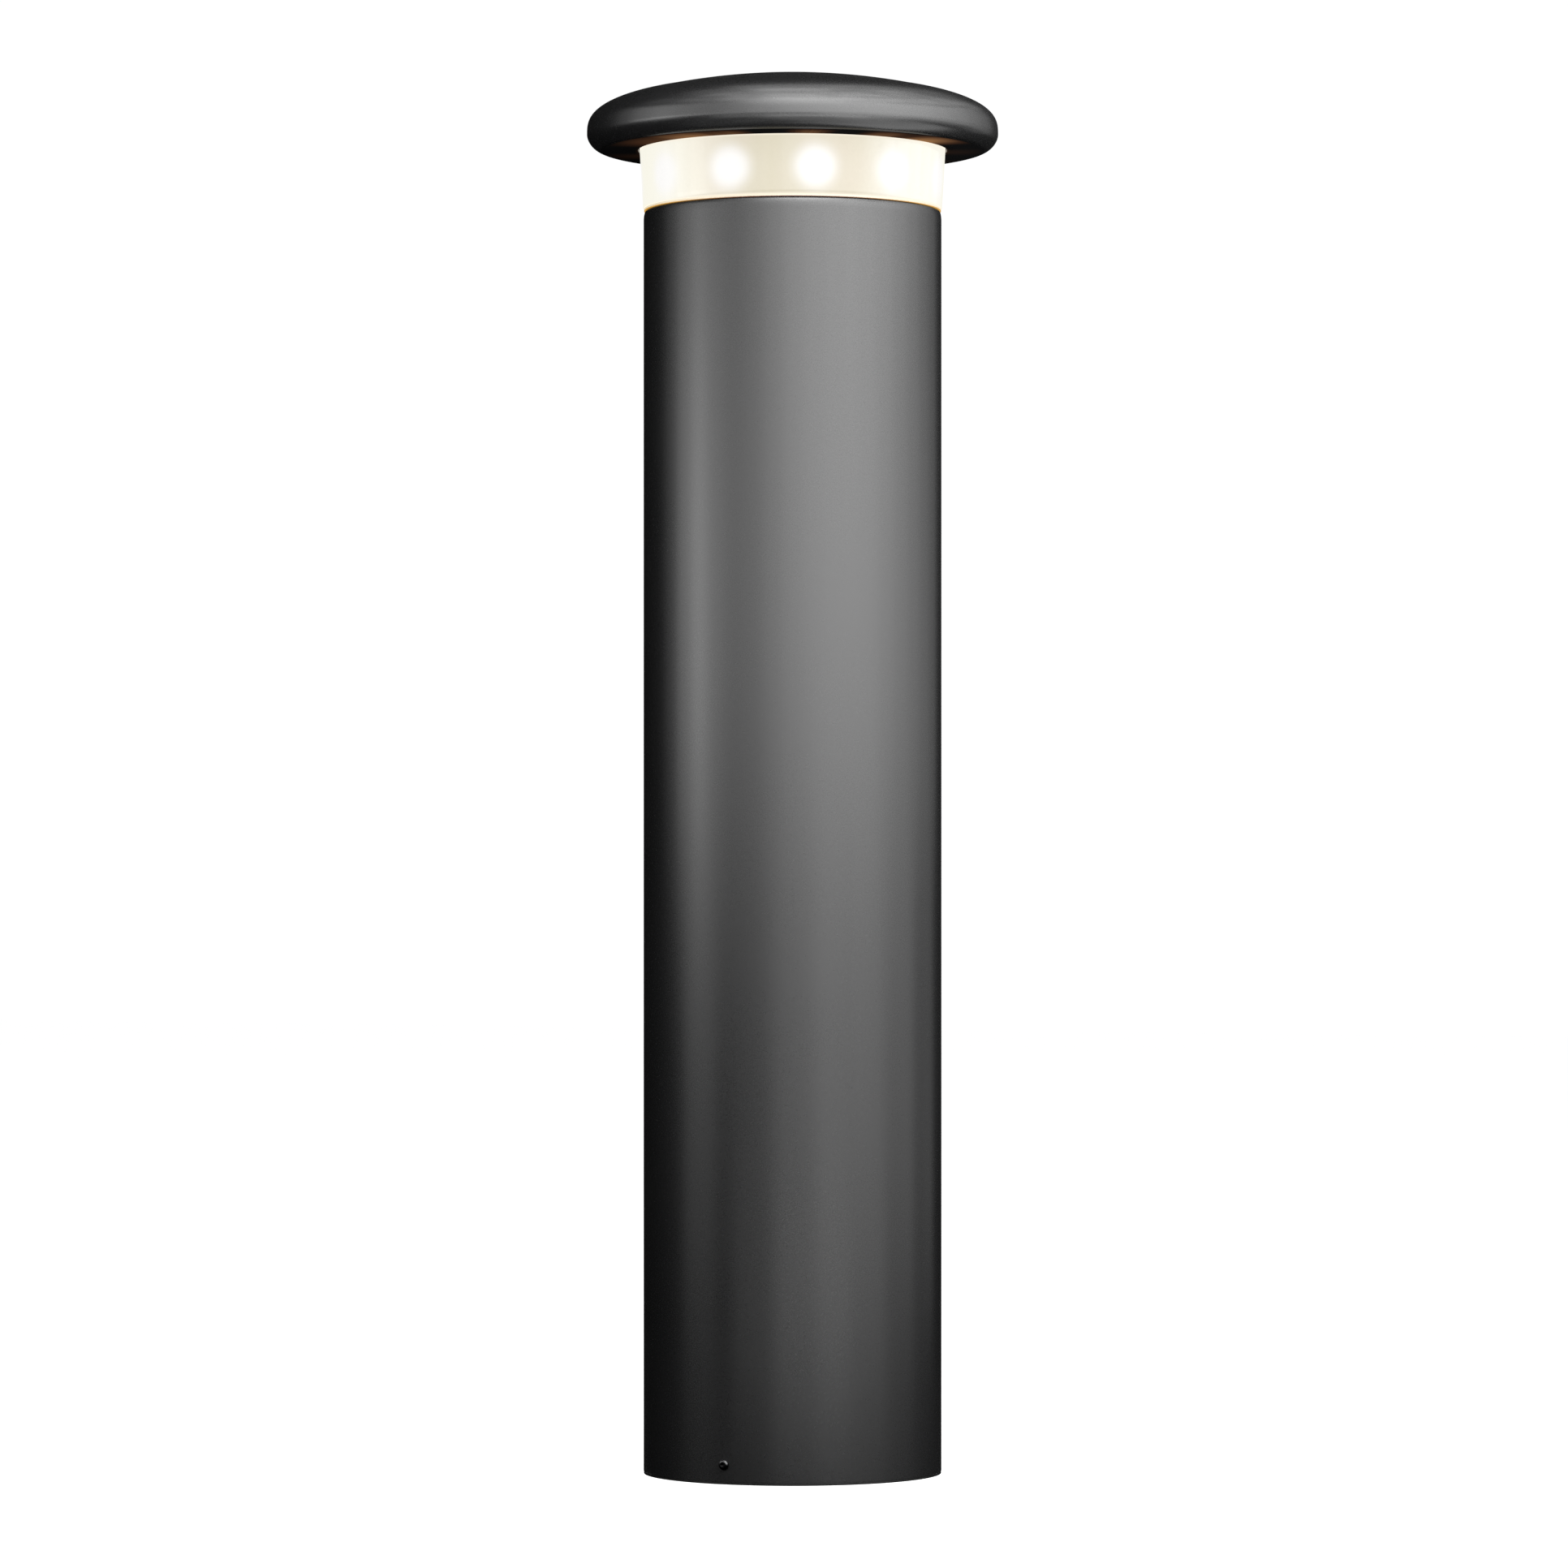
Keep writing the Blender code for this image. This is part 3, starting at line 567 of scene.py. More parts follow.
def cap_outline():
    pts = [(CROWN_R * i / 28, crown(CROWN_R * i / 28)) for i in range(29)]
    z0 = crown(CROWN_R)
    for i in range(1, 49):
        t = math.pi / 2 * i / 48
        pts.append((CROWN_R + (CAP_R - CROWN_R) * math.sin(t) ** 1.768,
                    WIDE_Z + (z0 - WIDE_Z) * math.cos(t) ** 0.681))
    for i in range(1, 33):
        t = math.pi / 2 * i / 32
        pts.append((FLAT_R + (CAP_R - FLAT_R) * math.cos(t) ** 1.04,
                    WIDE_Z - (WIDE_Z - CAP_Z0) * math.sin(t) ** 1.11))
    return pts


inner_shell = [(113.9, CAP_Z0), (113.4, CAP_Z0 + 0.5), (113.4, CAP_Z0 + 2.9),
               (114.0, CAP_Z0 + 3.5), (136.0, CAP_Z0 + 3.5), (144.0, CAP_Z0 + 7.1),
               (CAP_R - 3.5, WIDE_Z), (144.8, 995.0), (137.0, 1001.4), (112.0, 1009.8),
               (88.0, crown(88.0) - 3.9), (45.0, crown(45.0) - 3.5), (0.0, crown(0.0) - 3.5)]
profile = cap_outline() + [(130.0, CAP_Z0), (121.0, CAP_Z0)] + inner_shell
cap = turned("cap_fine", profile[::-1], 320, closed=False, sharp=50.0)
finish(cap, COAT_CAP, "column", "powder_coat", "cap")

# =========================================================================
# Light band and its seals
# =========================================================================
wall = 3.2
profile = [(DIFF_RB - wall, DIFF_Z0 + 0.3), (DIFF_RB - wall + 0.3, DIFF_Z0),
           (DIFF_RB - 0.7, DIFF_Z0), (DIFF_RB - 0.2, DIFF_Z0 + 0.2)]
for i in range(13):
    z = DIFF_Z0 + 0.7 + (DIFF_Z1 - DIFF_Z0 - 1.0) * i / 12
    profile.append((DIFF_RB + (DIFF_RT - DIFF_RB) * (z - DIFF_Z0) / (DIFF_Z1 - DIFF_Z0), z))
profile += [(DIFF_RT - 0.3, DIFF_Z1), (DIFF_RT - wall, DIFF_Z1),
            (DIFF_RT - wall - 0.02, DIFF_Z1 - 0.3)]
band = turned("light_band_fine", profile, 320, sharp=50.0)
finish(band, BAND, "column", "diffuser_frost", "diffuser")


def lipped_ring(name, ri, ro, z0, z1, lip=0.25, seg=256):
    """Moulded rubber ring with rounded edges."""
    return turned(name, [(ri, z0 + lip), (ri + lip, z0), (ro - lip, z0), (ro - lip * 0.3, z0 + lip * 0.3),
                         (ro, z0 + lip), (ro, z1 - lip), (ro - lip * 0.3, z1 - lip * 0.3),
                         (ro - lip, z1), (ri + lip, z1), (ri, z1 - lip)], seg, sharp=15.0)


for node, name in (("lower_gasket", "band_seal_lower"), ("upper_gasket", "band_seal_upper"),
                   ("foot_gasket", "foot_seal")):
    a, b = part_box(node)
    ri = {"lower_gasket": 104.6, "upper_gasket": 107.4, "foot_gasket": 104.95}[node]
    z0, z1, mat, slot = a[2] / MM, b[2] / MM, RUBBER, "gasket_rubber"
    if node == "lower_gasket":
        z0, z1, mat, slot = z0 - 0.24, z1 + 0.24, SEAL, "seal_silicone"
    elif node == "foot_gasket":
        z1, mat = COLUMN_Z0 - 0.03, FOOT_RUBBER
    ring_piece = lipped_ring(name, ri, b[0] / MM, z0, z1, 0.25 if node == "upper_gasket" else 0.08)
    finish(ring_piece, mat, "base" if node == "foot_gasket" else "column", slot, node)


# =========================================================================
# Fixing screws: M4 button heads with a hexagon socket
# =========================================================================
def button_screw(name, seat, tip):
    head_r, head_h = 3.8, 2.2
    prof = [(0.0, tip), (1.35, tip), (2.0, tip + 0.65)]
    z = tip + 0.65
    pitch = 0.7
    while z + pitch < seat - 0.4:                      # thread as turned ridges
        prof += [(1.62, z + pitch * 0.5), (2.0, z + pitch)]
        z += pitch
    prof += [(1.75, seat - 0.2), (2.0, seat), (head_r - 0.25, seat), (head_r, seat + 0.2),
             (head_r, seat + 0.42)]
    for i in range(1, 13):
        t = math.pi / 2 * i / 12
        prof.append((1.95 + (head_r - 1.95) * math.cos(t),
                     seat + 0.42 + (head_h - 0.42) * math.sin(t)))
    prof += [(1.62, seat + head_h), (1.55, seat + head_h - 0.12), (0.0, seat + head_h - 0.12)]
    screw = turned(name, prof, 64, closed=False, sharp=30.0)
    socket = turned("socket", [(0, seat + head_h - 1.4), (0.4, seat + head_h - 1.3),
                               (2.5 / 2 / math.cos(math.pi / 6), seat + head_h - 1.25),
                               (2.5 / 2 / math.cos(math.pi / 6), seat + head_h + 3),
                               (0, seat + head_h + 3)], 6, closed=False, phase=0.26)
    return cut(screw, [socket], sharp=30.0)


seat = COLUMN_R + 0.3
tip = 104.3 - 3.6 + 0.4
for k, a in enumerate(FIX_ANGLES, 1):
    s = button_screw("button_screw_%d" % k, seat, tip)
    placed(s, (0, 0, FIX_Z), (*polar(1, a), 0))
    finish(s, BLACK_STEEL, "fixing_screw_%d" % k, "black_screw", "fixing_screw_%d" % k)


def knurled_insert(name):
    prof = [(2.3, 101.2), (3.2, 101.2), (3.35, 101.35)]
    top = INNER_R * math.cos(math.pi / 64) - 0.3
    prof += [(3.35, 102.6), (3.9, 102.7), (3.9, top - 0.15), (3.75, top), (2.5, top), (2.3, top - 0.2)]
    return turned(name, prof, 48, sharp=35.0)


for k, a in enumerate(FIX_ANGLES, 1):
    piece = placed(knurled_insert("press_nut_%d" % k), (0, 0, FIX_Z), (*polar(1, a), 0))
    finish(piece, ZINC_BOLT, "column", "zinc_steel", "thread_insert_%d" % k)

# =========================================================================
# Base: flange and spigot
# =========================================================================
flange_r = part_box("base_flange")[1][0] / MM
flange = turned("base_flange_fine",
                [(36.6, 0.0), (flange_r - 0.6, 0.0), (flange_r, 0.6), (flange_r, 7.2),
                 (flange_r - 0.8, 8.0), (37.0, 8.0), (36.0, 7.0), (36.0, 0.6)], 192, sharp=30.0)
pads = []
for k, a in enumerate(ANCHOR_ANGLES):
    pads.append(turned("pad%d" % k, [(0, 4.0), (14.0, 4.0), (14.0, 8.7), (13.7, 9.0), (0, 9.0)], 64,
                       closed=False, centre=polar(75.0, a), phase=0.05))
cut(flange, pads, 'UNION', sharp=30.0)
bores = [turned("bore%d" % k, [(0, -3), (6.5, -3), (6.5, 8.3), (7.4, 9.2), (7.4, 12), (0, 12)], 48,
                closed=False, centre=polar(75.0, a), phase=0.03)
         for k, a in enumerate(ANCHOR_ANGLES)]
cut(flange, bores, sharp=30.0)
finish(flange, TURNED_ALU, "base", "bare_aluminium", "base_flange")

sp_r = flange_r
spigot = turned("spigot_ring_fine",
                [(sp_r - 7.0, 8.3), (sp_r, 8.3), (sp_r, 56.0), (sp_r - 1.2, 61.4), (sp_r - 1.8, 62.0),
                 (sp_r - 6.4, 62.0), (sp_r - 7.0, 61.4)], 192, sharp=30.0)
tools = []
for k, a in enumerate(FIX_ANGLES):
    g = rounded_box("groove%d" % k, sp_r - 3.6, sp_r + 9, -5.5, 5.5, 0, 72, 0.0)
    g.data.transform(Matrix.Rotation(math.radians(a), 4, 'Z'))
    tools.append(g)
cut(spigot, tools, sharp=30.0)
finish(spigot, BARE_ALU, "base", "bare_aluminium", "spigot_ring")


# =========================================================================
# Gear tray and what it carries
# =========================================================================
TRAY_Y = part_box("gear_tray")[1][1] / MM - 24.0
tray_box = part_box("gear_tray")
tz0, tz1 = tray_box[0][2] / MM, tray_box[1][2] / MM
tx = tray_box[1][0] / MM
FRONT = TRAY_Y - 2.3


def folded_channel(name):
    """Sheet channel with bent corners, flanges running forwards."""
    outer, inner_pts = [], []
    r_out, r_in, t, lip = 3.0, 1.0, 2.0, 16.0
    seg = 6
    pts = [(-tx, TRAY_Y - lip)]
    for i in range(seg + 1):
        a = math.pi - math.pi / 2 * i / seg
        pts.append((-tx + r_out + r_out * math.cos(a), TRAY_Y - r_out + r_out * math.sin(a)))
    for i in range(seg + 1):
        a = math.pi / 2 - math.pi / 2 * i / seg
        pts.append((tx - r_out + r_out * math.cos(a), TRAY_Y - r_out + r_out * math.sin(a)))
    pts += [(tx, TRAY_Y - lip), (tx - t, TRAY_Y - lip)]
    for i in range(seg + 1):
        a = math.pi / 2 * i / seg
        pts.append((tx - t - r_in + r_in * math.cos(a), TRAY_Y - t - r_in + r_in * math.sin(a)))
    for i in range(seg + 1):
        a = math.pi / 2 + math.pi / 2 * i / seg
        pts.append((-tx + t + r_in + r_in * math.cos(a), TRAY_Y - t - r_in + r_in * math.sin(a)))
    pts.append((-tx + t, TRAY_Y - lip))
    bm = bmesh.new()
    low = [bm.verts.new((x * MM, y * MM, (tz0 + 1.0) * MM)) for x, y in pts]
    high = [bm.verts.new((x * MM, y * MM, tz1 * MM)) for x, y in pts]
    n = len(pts)
    bm.faces.new(low)
    bm.faces.new(high[::-1])
    for i in range(n):
        j = (i + 1) % n
        bm.faces.new((low[j], low[i], high[i], high[j]))
    return from_bmesh(name, bm)


tray = folded_channel("gear_tray_fine")
feet = [rounded_box("foot%d" % k, s * 34 - 11, s * 34 + 11, TRAY_Y - 1, TRAY_Y + 24, tz0, tz0 + 2.0, 0.25, 2)
        for k, s in enumerate((-1, 1))]
cut(tray, feet, 'UNION')
tools = [turned("foot_hole%d" % k, [(0, tz0 - 4), (2.8, tz0 - 4), (2.8, tz0 + 6), (0, tz0 + 6)], 40,
                closed=False, centre=(s * 34, TRAY_Y + 14), phase=0.04) for k, s in enumerate((-1, 1))]
# slots in the web for spare fixings
for k, z in enumerate((214.0, 228.0, 60.0, 74.0)):
    tools.append(rounded_box("slot%d" % k, -9 if k > 1 else -34, 9 if k > 1 else -16, TRAY_Y - 6,
                             TRAY_Y + 6, z - 2.6, z + 2.6, 1.2, 3))
cut(tray, tools)
finish(tray, ZINC, "base", "zinc_steel", "gear_tray")


def pan_screw(name, centre, z_tip, z_seat, r=4.6, h=3.3, shank=2.4):
    prof = [(0.0, z_tip), (shank - 0.5, z_tip), (shank, z_tip + 0.5), (shank, z_seat),
            (r - 0.3, z_seat), (r, z_seat + 0.3), (r, z_seat + h * 0.45)]
    for i in range(1, 9):
        t = math.pi / 2 * i / 8
        prof.append((r * 0.45 + r * 0.55 * math.cos(t), z_seat + h * 0.45 + h * 0.55 * math.sin(t)))
    prof.append((0.0, z_seat + h))
    screw = turned(name, prof, 48, closed=False, sharp=40.0)
    arms = [rounded_box(name + "_x%d" % k, -a, a, -b, b, z_seat + h * 0.45, z_seat + h + 2, 0.0)
            for k, (a, b) in enumerate(((r * 0.55, 0.55), (0.55, r * 0.55)))]
    cut(screw, arms, sharp=40.0)
    screw.data.transform(Matrix.Translation((centre[0] * MM, centre[1] * MM, 0)))
    return screw


for k, s in enumerate((-1, 1), 1):
    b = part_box("tray_screw_%d" % k)
    piece = pan_screw("tray_screw_%d_fine" % k, (s * 34, TRAY_Y + 14), b[0][2] / MM,
                      b[1][2] / MM - 3.3, shank=2.4)
    finish(piece, STAINLESS, "base", "stainless", "tray_screw_%d" % k)

# driver: ribbed plastic case with terminal openings at both ends
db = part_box("driver")
dx, dy0, dy1, dz0, dz1 = db[1][0] / MM, db[0][1] / MM, db[1][1] / MM, db[0][2] / MM, db[1][2] / MM
driver = rounded_box("driver_fine", -dx, dx, dy0, dy1, dz0, dz1, 2.2, 4)
tools = []
for k in range(9):
    z = dz0 + 30 + k * 9.0
    tools.append(rounded_box("rib%d" % k, -dx + 6, dx - 6, dy0 - 3, dy0 + 0.8, z - 1.2, z + 1.2, 0.3, 2))
for k, x in enumerate((-12.0, -4.0, 4.0, 12.0)):
    for m, z in enumerate((dz0 + 9, dz1 - 9)):
        tools.append(placed(turned("term%d%d" % (k, m), [(0, -3), (2.3, -3), (2.3, 4), (0, 4)], 24,
                                   closed=False, phase=0.05), (x, dy0 + 2.5, z), (0, -1, 0)))
for k, z in enumerate((dz0 + 17.5, dz1 - 17.5)):
    tools.append(rounded_box("step%d" % k, -dx - 2, dx + 2, dy0 - 3, dy0 + 1.0, z - 0.6, z + 0.6, 0.0))
cut(driver, tools)
finish(driver, DRIVER_WHITE, "base", "driver_white", "driver")
for k in (1, 2):
    a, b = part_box("driver_clip_%d" % k)
    body = rounded_box("driver_clip_%d_fine" % k, a[0] / MM, b[0] / MM, a[1] / MM, b[1] / MM,
                       a[2] / MM, b[2] / MM, 1.2, 3)
    finish(body, STAINLESS, "base", "zinc_steel", "driver_clip_%d" % k)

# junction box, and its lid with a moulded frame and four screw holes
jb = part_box("junction_box")
jx, jy0, jy1, jz0, jz1 = (jb[1][0] / MM, jb[0][1] / MM, jb[1][1] / MM, jb[0][2] / MM, jb[1][2] / MM)
shell = rounded_box("junction_box_fine", -jx, jx, jy0, jy1, jz0, jz1, 3.0, 4)
inner_cut = rounded_box("inner", -jx + 2.5, jx - 2.5, jy0 - 5, jy1 - 2.5, jz0 + 2.5, jz1 - 2.5, 1.6, 3)
cable = [turned("c1", [(0, jz0 - 5), (8.2, jz0 - 5), (8.2, jz0 + 8), (0, jz0 + 8)], 48, closed=False,
                centre=(-16, FRONT - 18), phase=0.04),
         turned("c2", [(0, jz0 - 5), (8.2, jz0 - 5), (8.2, jz0 + 8), (0, jz0 + 8)], 48, closed=False,
                centre=(16, FRONT - 18), phase=0.04),
         turned("c3", [(0, jz1 - 8), (6.2, jz1 - 8), (6.2, jz1 + 5), (0, jz1 + 5)], 48, closed=False,
                centre=(0, FRONT - 18), phase=0.04)]
cut(shell, [inner_cut] + cable)
finish(shell, GREY_BOX, "base", "box_grey", "junction_box")
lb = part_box("junction_box_lid")
ly0, ly1 = lb[0][1] / MM, lb[1][1] / MM
lid = rounded_box("junction_box_lid_fine", -jx, jx, ly0, ly1, jz0, jz1, 1.4, 3)
tools = [rounded_box("panel", -jx + 7, jx - 7, ly0 - 2, ly0 + 0.7, jz0 + 7, jz1 - 7, 0.6, 2)]
for k, (x, z) in enumerate(((-jx + 3.6, jz0 + 12), (jx - 3.6, jz0 + 12), (-jx + 3.6, jz1 - 12), (jx - 3.6, jz1 - 12))):
    tools.append(placed(turned("ls%d" % k, [(0, -1), (2.3, -1), (2.3, 3), (0, 3)], 28, closed=False,
                               phase=0.05), (x, ly0 + 0.2, z), (0, -1, 0)))
cut(lid, tools)
finish(lid, LID_GREY, "base", "box_grey", "junction_box_lid")

# terminal block with screw wells and wire funnels
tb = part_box("terminal_block")
bx, by0, by1, bz0, bz1 = tb[1][0] / MM, tb[0][1] / MM, tb[1][1] / MM, tb[0][2] / MM, tb[1][2] / MM
block = rounded_box("terminal_block_fine", -bx, bx, by0, by1, bz0, bz1, 1.2, 2)
tools = []
for k in range(5):
    x = -bx + 5.2 + k * (2 * bx - 10.4) / 4
    tools.append(placed(turned("w%d" % k, [(0, -8), (2.6, -8), (2.6, 3), (0, 3)], 24, closed=False,
                               phase=0.05), (x, by0 + 1, (bz0 + bz1) / 2), (0, -1, 0)))
    if k < 4:
        xm = x + (2 * bx - 10.4) / 8
        tools.append(rounded_box("g%d" % k, xm - 0.5, xm + 0.5, by0 - 2, by0 + 5, bz0 - 2, bz1 + 2, 0.0))
cut(block, tools)
finish(block, NYLON, "base", "terminal_plastic", "terminal_block")


def gland(name, x, y, face, down, hole_r, bore):
    """Cable gland: hexagon body, domed ribbed nut, thread through the wall."""
    s = -1.0 if down else 1.0
    body_r = hole_r + 2.2
    prof = [(bore, face - s * 6.0), (hole_r - 0.9, face - s * 6.0), (hole_r - 0.3, face - s * 5.4),
            (hole_r - 0.3, face + s * 0.3), (body_r - 0.4, face + s * 0.3), (body_r, face + s * 0.8),
            (body_r, face + s * 4.2), (body_r - 0.8, face + s * 4.6), (body_r - 0.8, face + s * 5.2),
            (body_r - 0.1, face + s * 5.6), (body_r - 0.1, face + s * 11.0)]
    for i in range(1, 7):
        t = math.pi / 2 * i / 6
        prof.append((bore + 0.6 + (body_r - 0.7 - bore) * math.cos(t), face + s * (11.0 + 4.6 * math.sin(t))))
    prof += [(bore, face + s * 15.8)]
    if down:
        prof = prof[::-1]
    g = turned(name, prof, 72, centre=(x, y), sharp=32.0)
    # ribs round the dome nut and flats on the body
    for v in g.data.vertices:
        dx_, dy_ = v.co.x / MM - x, v.co.y / MM - y
        r = math.hypot(dx_, dy_)
        h = s * (v.co.z / MM - face)
        a = math.atan2(dy_, dx_)
        if r > body_r - 0.2 and 0.5 < h < 4.5:
            flat = (body_r * math.cos(math.pi / 6) + 0.25) / max(math.cos((a % (math.pi / 3)) - math.pi / 6), 0.5)
            k = min(1.0, flat / r)
        elif r > body_r - 0.4 and 5.4 < h < 11.2:
            k = 1.0 - 0.035 * (1 if math.cos(a * 18) > 0 else 0)
        else:
            continue
        v.co.x, v.co.y = (x + dx_ * k) * MM, (y + dy_ * k) * MM
    g.data.update()
    return g


GY = FRONT - 18
for node, x, face, down, hr, br in (("inlet_gland", -16, jz0, True, 8.2, 5.0),
                                    ("through_gland", 16, jz0, True, 8.2, 5.0),
                                    ("outlet_gland", 0, jz1, False, 6.2, 3.6)):
    finish(gland(node + "_fine", x, GY, face, down, hr, br), BLACK_PLASTIC, "base",
           "black_plastic", node)


# leads as smooth tubes
def lead(name, points, r, seg=20, count=90):
    pts = [Vector(p) for p in points]
    ext = [pts[0] * 2 - pts[1]] + pts + [pts[-1] * 2 - pts[-2]]
    path = []
    spans = len(pts) - 1
    for i in range(count + 1):
        u = spans * i / count
        k = min(int(u), spans - 1)
        t = u - k
        p0, p1, p2, p3 = ext[k:k + 4]
        path.append(0.5 * ((2 * p1) + (p2 - p0) * t + (2 * p0 - 5 * p1 + 4 * p2 - p3) * t * t
                           + (3 * p1 - p0 - 3 * p2 + p3) * t ** 3))
    verts, faces = [], []
    side = None
    for i, p in enumerate(path):
        d = (path[min(i + 1, count)] - path[max(i - 1, 0)]).normalized()
        side = (Vector((1, 0, 0)) if side is None else side)
        side = (side - d * side.dot(d)).normalized()
        up = d.cross(side)
        for j in range(seg):
            a = 2 * math.pi * j / seg
            verts.append(tuple(p + side * (r * math.cos(a)) + up * (r * math.sin(a))))
    for i in range(count):
        for j in range(seg):
            k = (j + 1) % seg
            faces.append((i * seg + j, i * seg + k, (i + 1) * seg + k, (i + 1) * seg + j))
    faces.append(tuple(range(seg))[::-1])
    faces.append(tuple(count * seg + j for j in range(seg)))
    return mesh_object(name, verts, faces, 50.0)


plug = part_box("connector_plug")
plug_z0, plug_z1 = plug[0][2] / MM, plug[1][2] / MM
finish(lead("driver_input_lead_fine", [(0, GY, 170), (0, GY, 200), (0, FRONT - 17, 220),
                                       (0, FRONT - 15.5, dz0 - 0.3)], 2.95, count=40),
       CABLE, "base", "cable_black", "driver_input_lead")
finish(lead("lead_to_led_fine", [(0, 0, 943), (0, 0, 905), (0, 3, 860), (-3, 16, 780),
                                 (-6, 34, 680), (-4, 42, 580), (-1, 37, 490), (0, 34, 450),
                                 (0, 34, plug_z1 + 0.3)], 3.55, count=140),
       CABLE, "column", "cable_black", "lead_to_led")

# connector: ribbed plug over its socket
body = rounded_box("connector_plug_fine", -16, 16, 26, 42, plug_z0, plug_z1, 2.2, 3)
tools = [rounded_box("pr%d%d" % (k, m), sx * 16 - 0.9, sx * 16 + 0.9, 24, 44,
                     plug_z0 + 9 + k * 4 - 0.8, plug_z0 + 9 + k * 4 + 0.8, 0.3, 2)
         for k in range(4) for m, sx in enumerate((-1, 1))]
tools.append(rounded_box("latch", -6, 6, 24, 26.9, plug_z0 - 2, plug_z0 + 13, 0.3, 2))
cut(body, tools)
finish(body, BLACK_PLASTIC, "column", "black_plastic", "connector_plug")
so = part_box("connector_socket")
body = rounded_box("connector_socket_fine", -16, 16, so[0][1] / MM, so[1][1] / MM, so[0][2] / MM,
                   so[1][2] / MM, 1.4, 3)
tools = [rounded_box("sr%d" % k, x - 1.4, x + 1.4, so[0][1] / MM - 2, so[0][1] / MM + 0.8,
                     so[0][2] / MM + 2, so[1][2] / MM - 2, 0.3, 2) for k, x in enumerate((-9, 0, 9))]
cut(body, tools)
finish(body, BLACK_PLASTIC, "base", "black_plastic", "connector_socket")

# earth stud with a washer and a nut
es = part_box("earth_stud")
ex, ez = 34.0, 215.0
prof = [(0.0, 0.0), (4.6, 0.0), (4.6, 1.0), (4.0, 1.1), (4.0, 3.0), (2.9, 3.2)]
z = 3.2
while z + 0.9 < 17.4:
    prof += [(2.55, z + 0.45), (2.9, z + 0.9)]
    z += 0.9
prof += [(2.4, 18.0), (0.0, 18.0)]
stud = placed(turned("earth_stud_fine", prof, 40, closed=False, sharp=30.0), (ex, FRONT, ez), (0, -1, 0))
finish(stud, BRASS, "base", "brass", "earth_stud")

# gland where the lead enters the lamp head
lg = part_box("lead_gland")
gz1, gz0 = lg[1][2] / MM, lg[0][2] / MM
gz = gz1 - 6 - 5 - 0.3
prof = [(4.1, gz0 + 0.3), (4.6, gz0), (6.2, gz0 + 0.4), (7.6, gz0 + 2.4), (8.4, gz0 + 4.0), (8.4, gz0 + 5.0),
        (10.6, gz0 + 5.2), (11.0, gz0 + 5.8), (11.0, gz - 0.4), (10.6, gz), (9.1, gz),
        (9.1, gz1 - 0.6), (8.5, gz1), (4.4, gz1), (4.1, gz1 - 0.3)]
finish(turned("lead_gland_fine", prof, 60, sharp=32.0), BLACK_PLASTIC, "column", "black_plastic", "lead_gland")

# =========================================================================
# CAD nodes that keep their own shape
# =========================================================================
def paint(node, mat, slot):
    obj = NODES[node]
    obj.data.materials.clear()
    obj.data.materials.append(mat)
    for p in obj.data.polygons:
        p.material_index = 0


for name in ("mounting_ring", "head_plate", "clamp_plate"):
    paint(name, TURNED_ALU, "bare_aluminium")
paint("led_core", BARE_ALU, "bare_aluminium")
for k in range(1, LED_COUNT + 1):
    paint("led_board_%02d" % k, BOARD, "led_board")
for k in (1, 2, 3):
    paint("tie_bolt_%d" % k, ZINC_BOLT, "zinc_steel")

# =========================================================================
# Floor, light and camera
# =========================================================================
floor_mesh = bpy.data.meshes.new("floor")
size = 14.0
floor_mesh.from_pydata([(-size, -size, 0), (size, -size, 0), (size, size, 0), (-size, size, 0)],
                       [], [(0, 1, 2, 3)])
floor = link(bpy.data.objects.new("floor", floor_mesh))
fn = Nodes("pale_floor")
tone = fn.noise(2.0, 3.0, 0.5)
fx, fy, fz = fn.xyz()
# painted contact shadow: the floor's glow is painted dimmer near the foot, from 0.90 at the column to 1.0 by 0.9 m out
painted_shadow_radius = fn.math('SQRT', fn.math('ADD', fn.math('MULTIPLY', fx, fx), fn.math('MULTIPLY', fy, fy)))
fn.set(Base_Color=fn.ramp(tone, [(0.3, (0.22, 0.22, 0.22)), (0.7, (0.24, 0.24, 0.24))]),
       Roughness=0.9, Emission_Color=(1.0, 1.0, 1.0, 1.0),
       Emission_Strength=fn.remap(painted_shadow_radius, 0.11, 0.9, 0.90, 1.0, smooth=True),
       Specular_IOR_Level=0.1)
floor.data.materials.append(fn.mat)
floor.visible_diffuse = False
floor.visible_glossy = False
floor.visible_shadow = False

world = bpy.data.worlds.new("studio")
scene.world = world
world.use_nodes = True
wt = world.node_tree
back = wt.nodes["Background"]
path = wt.nodes.new("ShaderNodeLightPath")
sky = wt.nodes.new("ShaderNodeBackground")
sky.inputs[0].default_value = (1.0, 1.0, 1.0, 1.0)
sky.inputs[1].default_value = 1.02
back.inputs[0].default_value = (0.0015, 0.0015, 0.0015, 1.0)
mixer = wt.nodes.new("ShaderNodeMixShader")
wt.links.new(path.outputs["Is Camera Ray"], mixer.inputs[0])
wt.links.new(back.outputs[0], mixer.inputs[1])
wt.links.new(sky.outputs[0], mixer.inputs[2])
wt.links.new(mixer.outputs[0], wt.nodes["World Output"].inputs[0])


def softbox(name, az, dist, z0, z1, width, power, aim=None):
    """Upright soft light round the object; az is from the camera's side, to its right."""
    data = bpy.data.lights.new(name, 'AREA')
    data.shape = 'RECTANGLE'
    data.size, data.size_y = width, z1 - z0
    data.energy = 10.0 * width * (z1 - z0) * power
    obj = link(bpy.data.objects.new(name, data))
    a = VIEW_AZ + math.radians(az)
    place = Vector((math.sin(a) * dist, -math.cos(a) * dist, (z0 + z1) / 2))
    obj.location = place
    target = Vector((0, 0, place.z if aim is None else aim))
    obj.rotation_euler = (target - place).to_track_quat('-Z', 'Y').to_euler()
    obj.visible_camera = False
    return obj


STRIP = 2 * 2.2 * math.tan(math.radians(7.5))
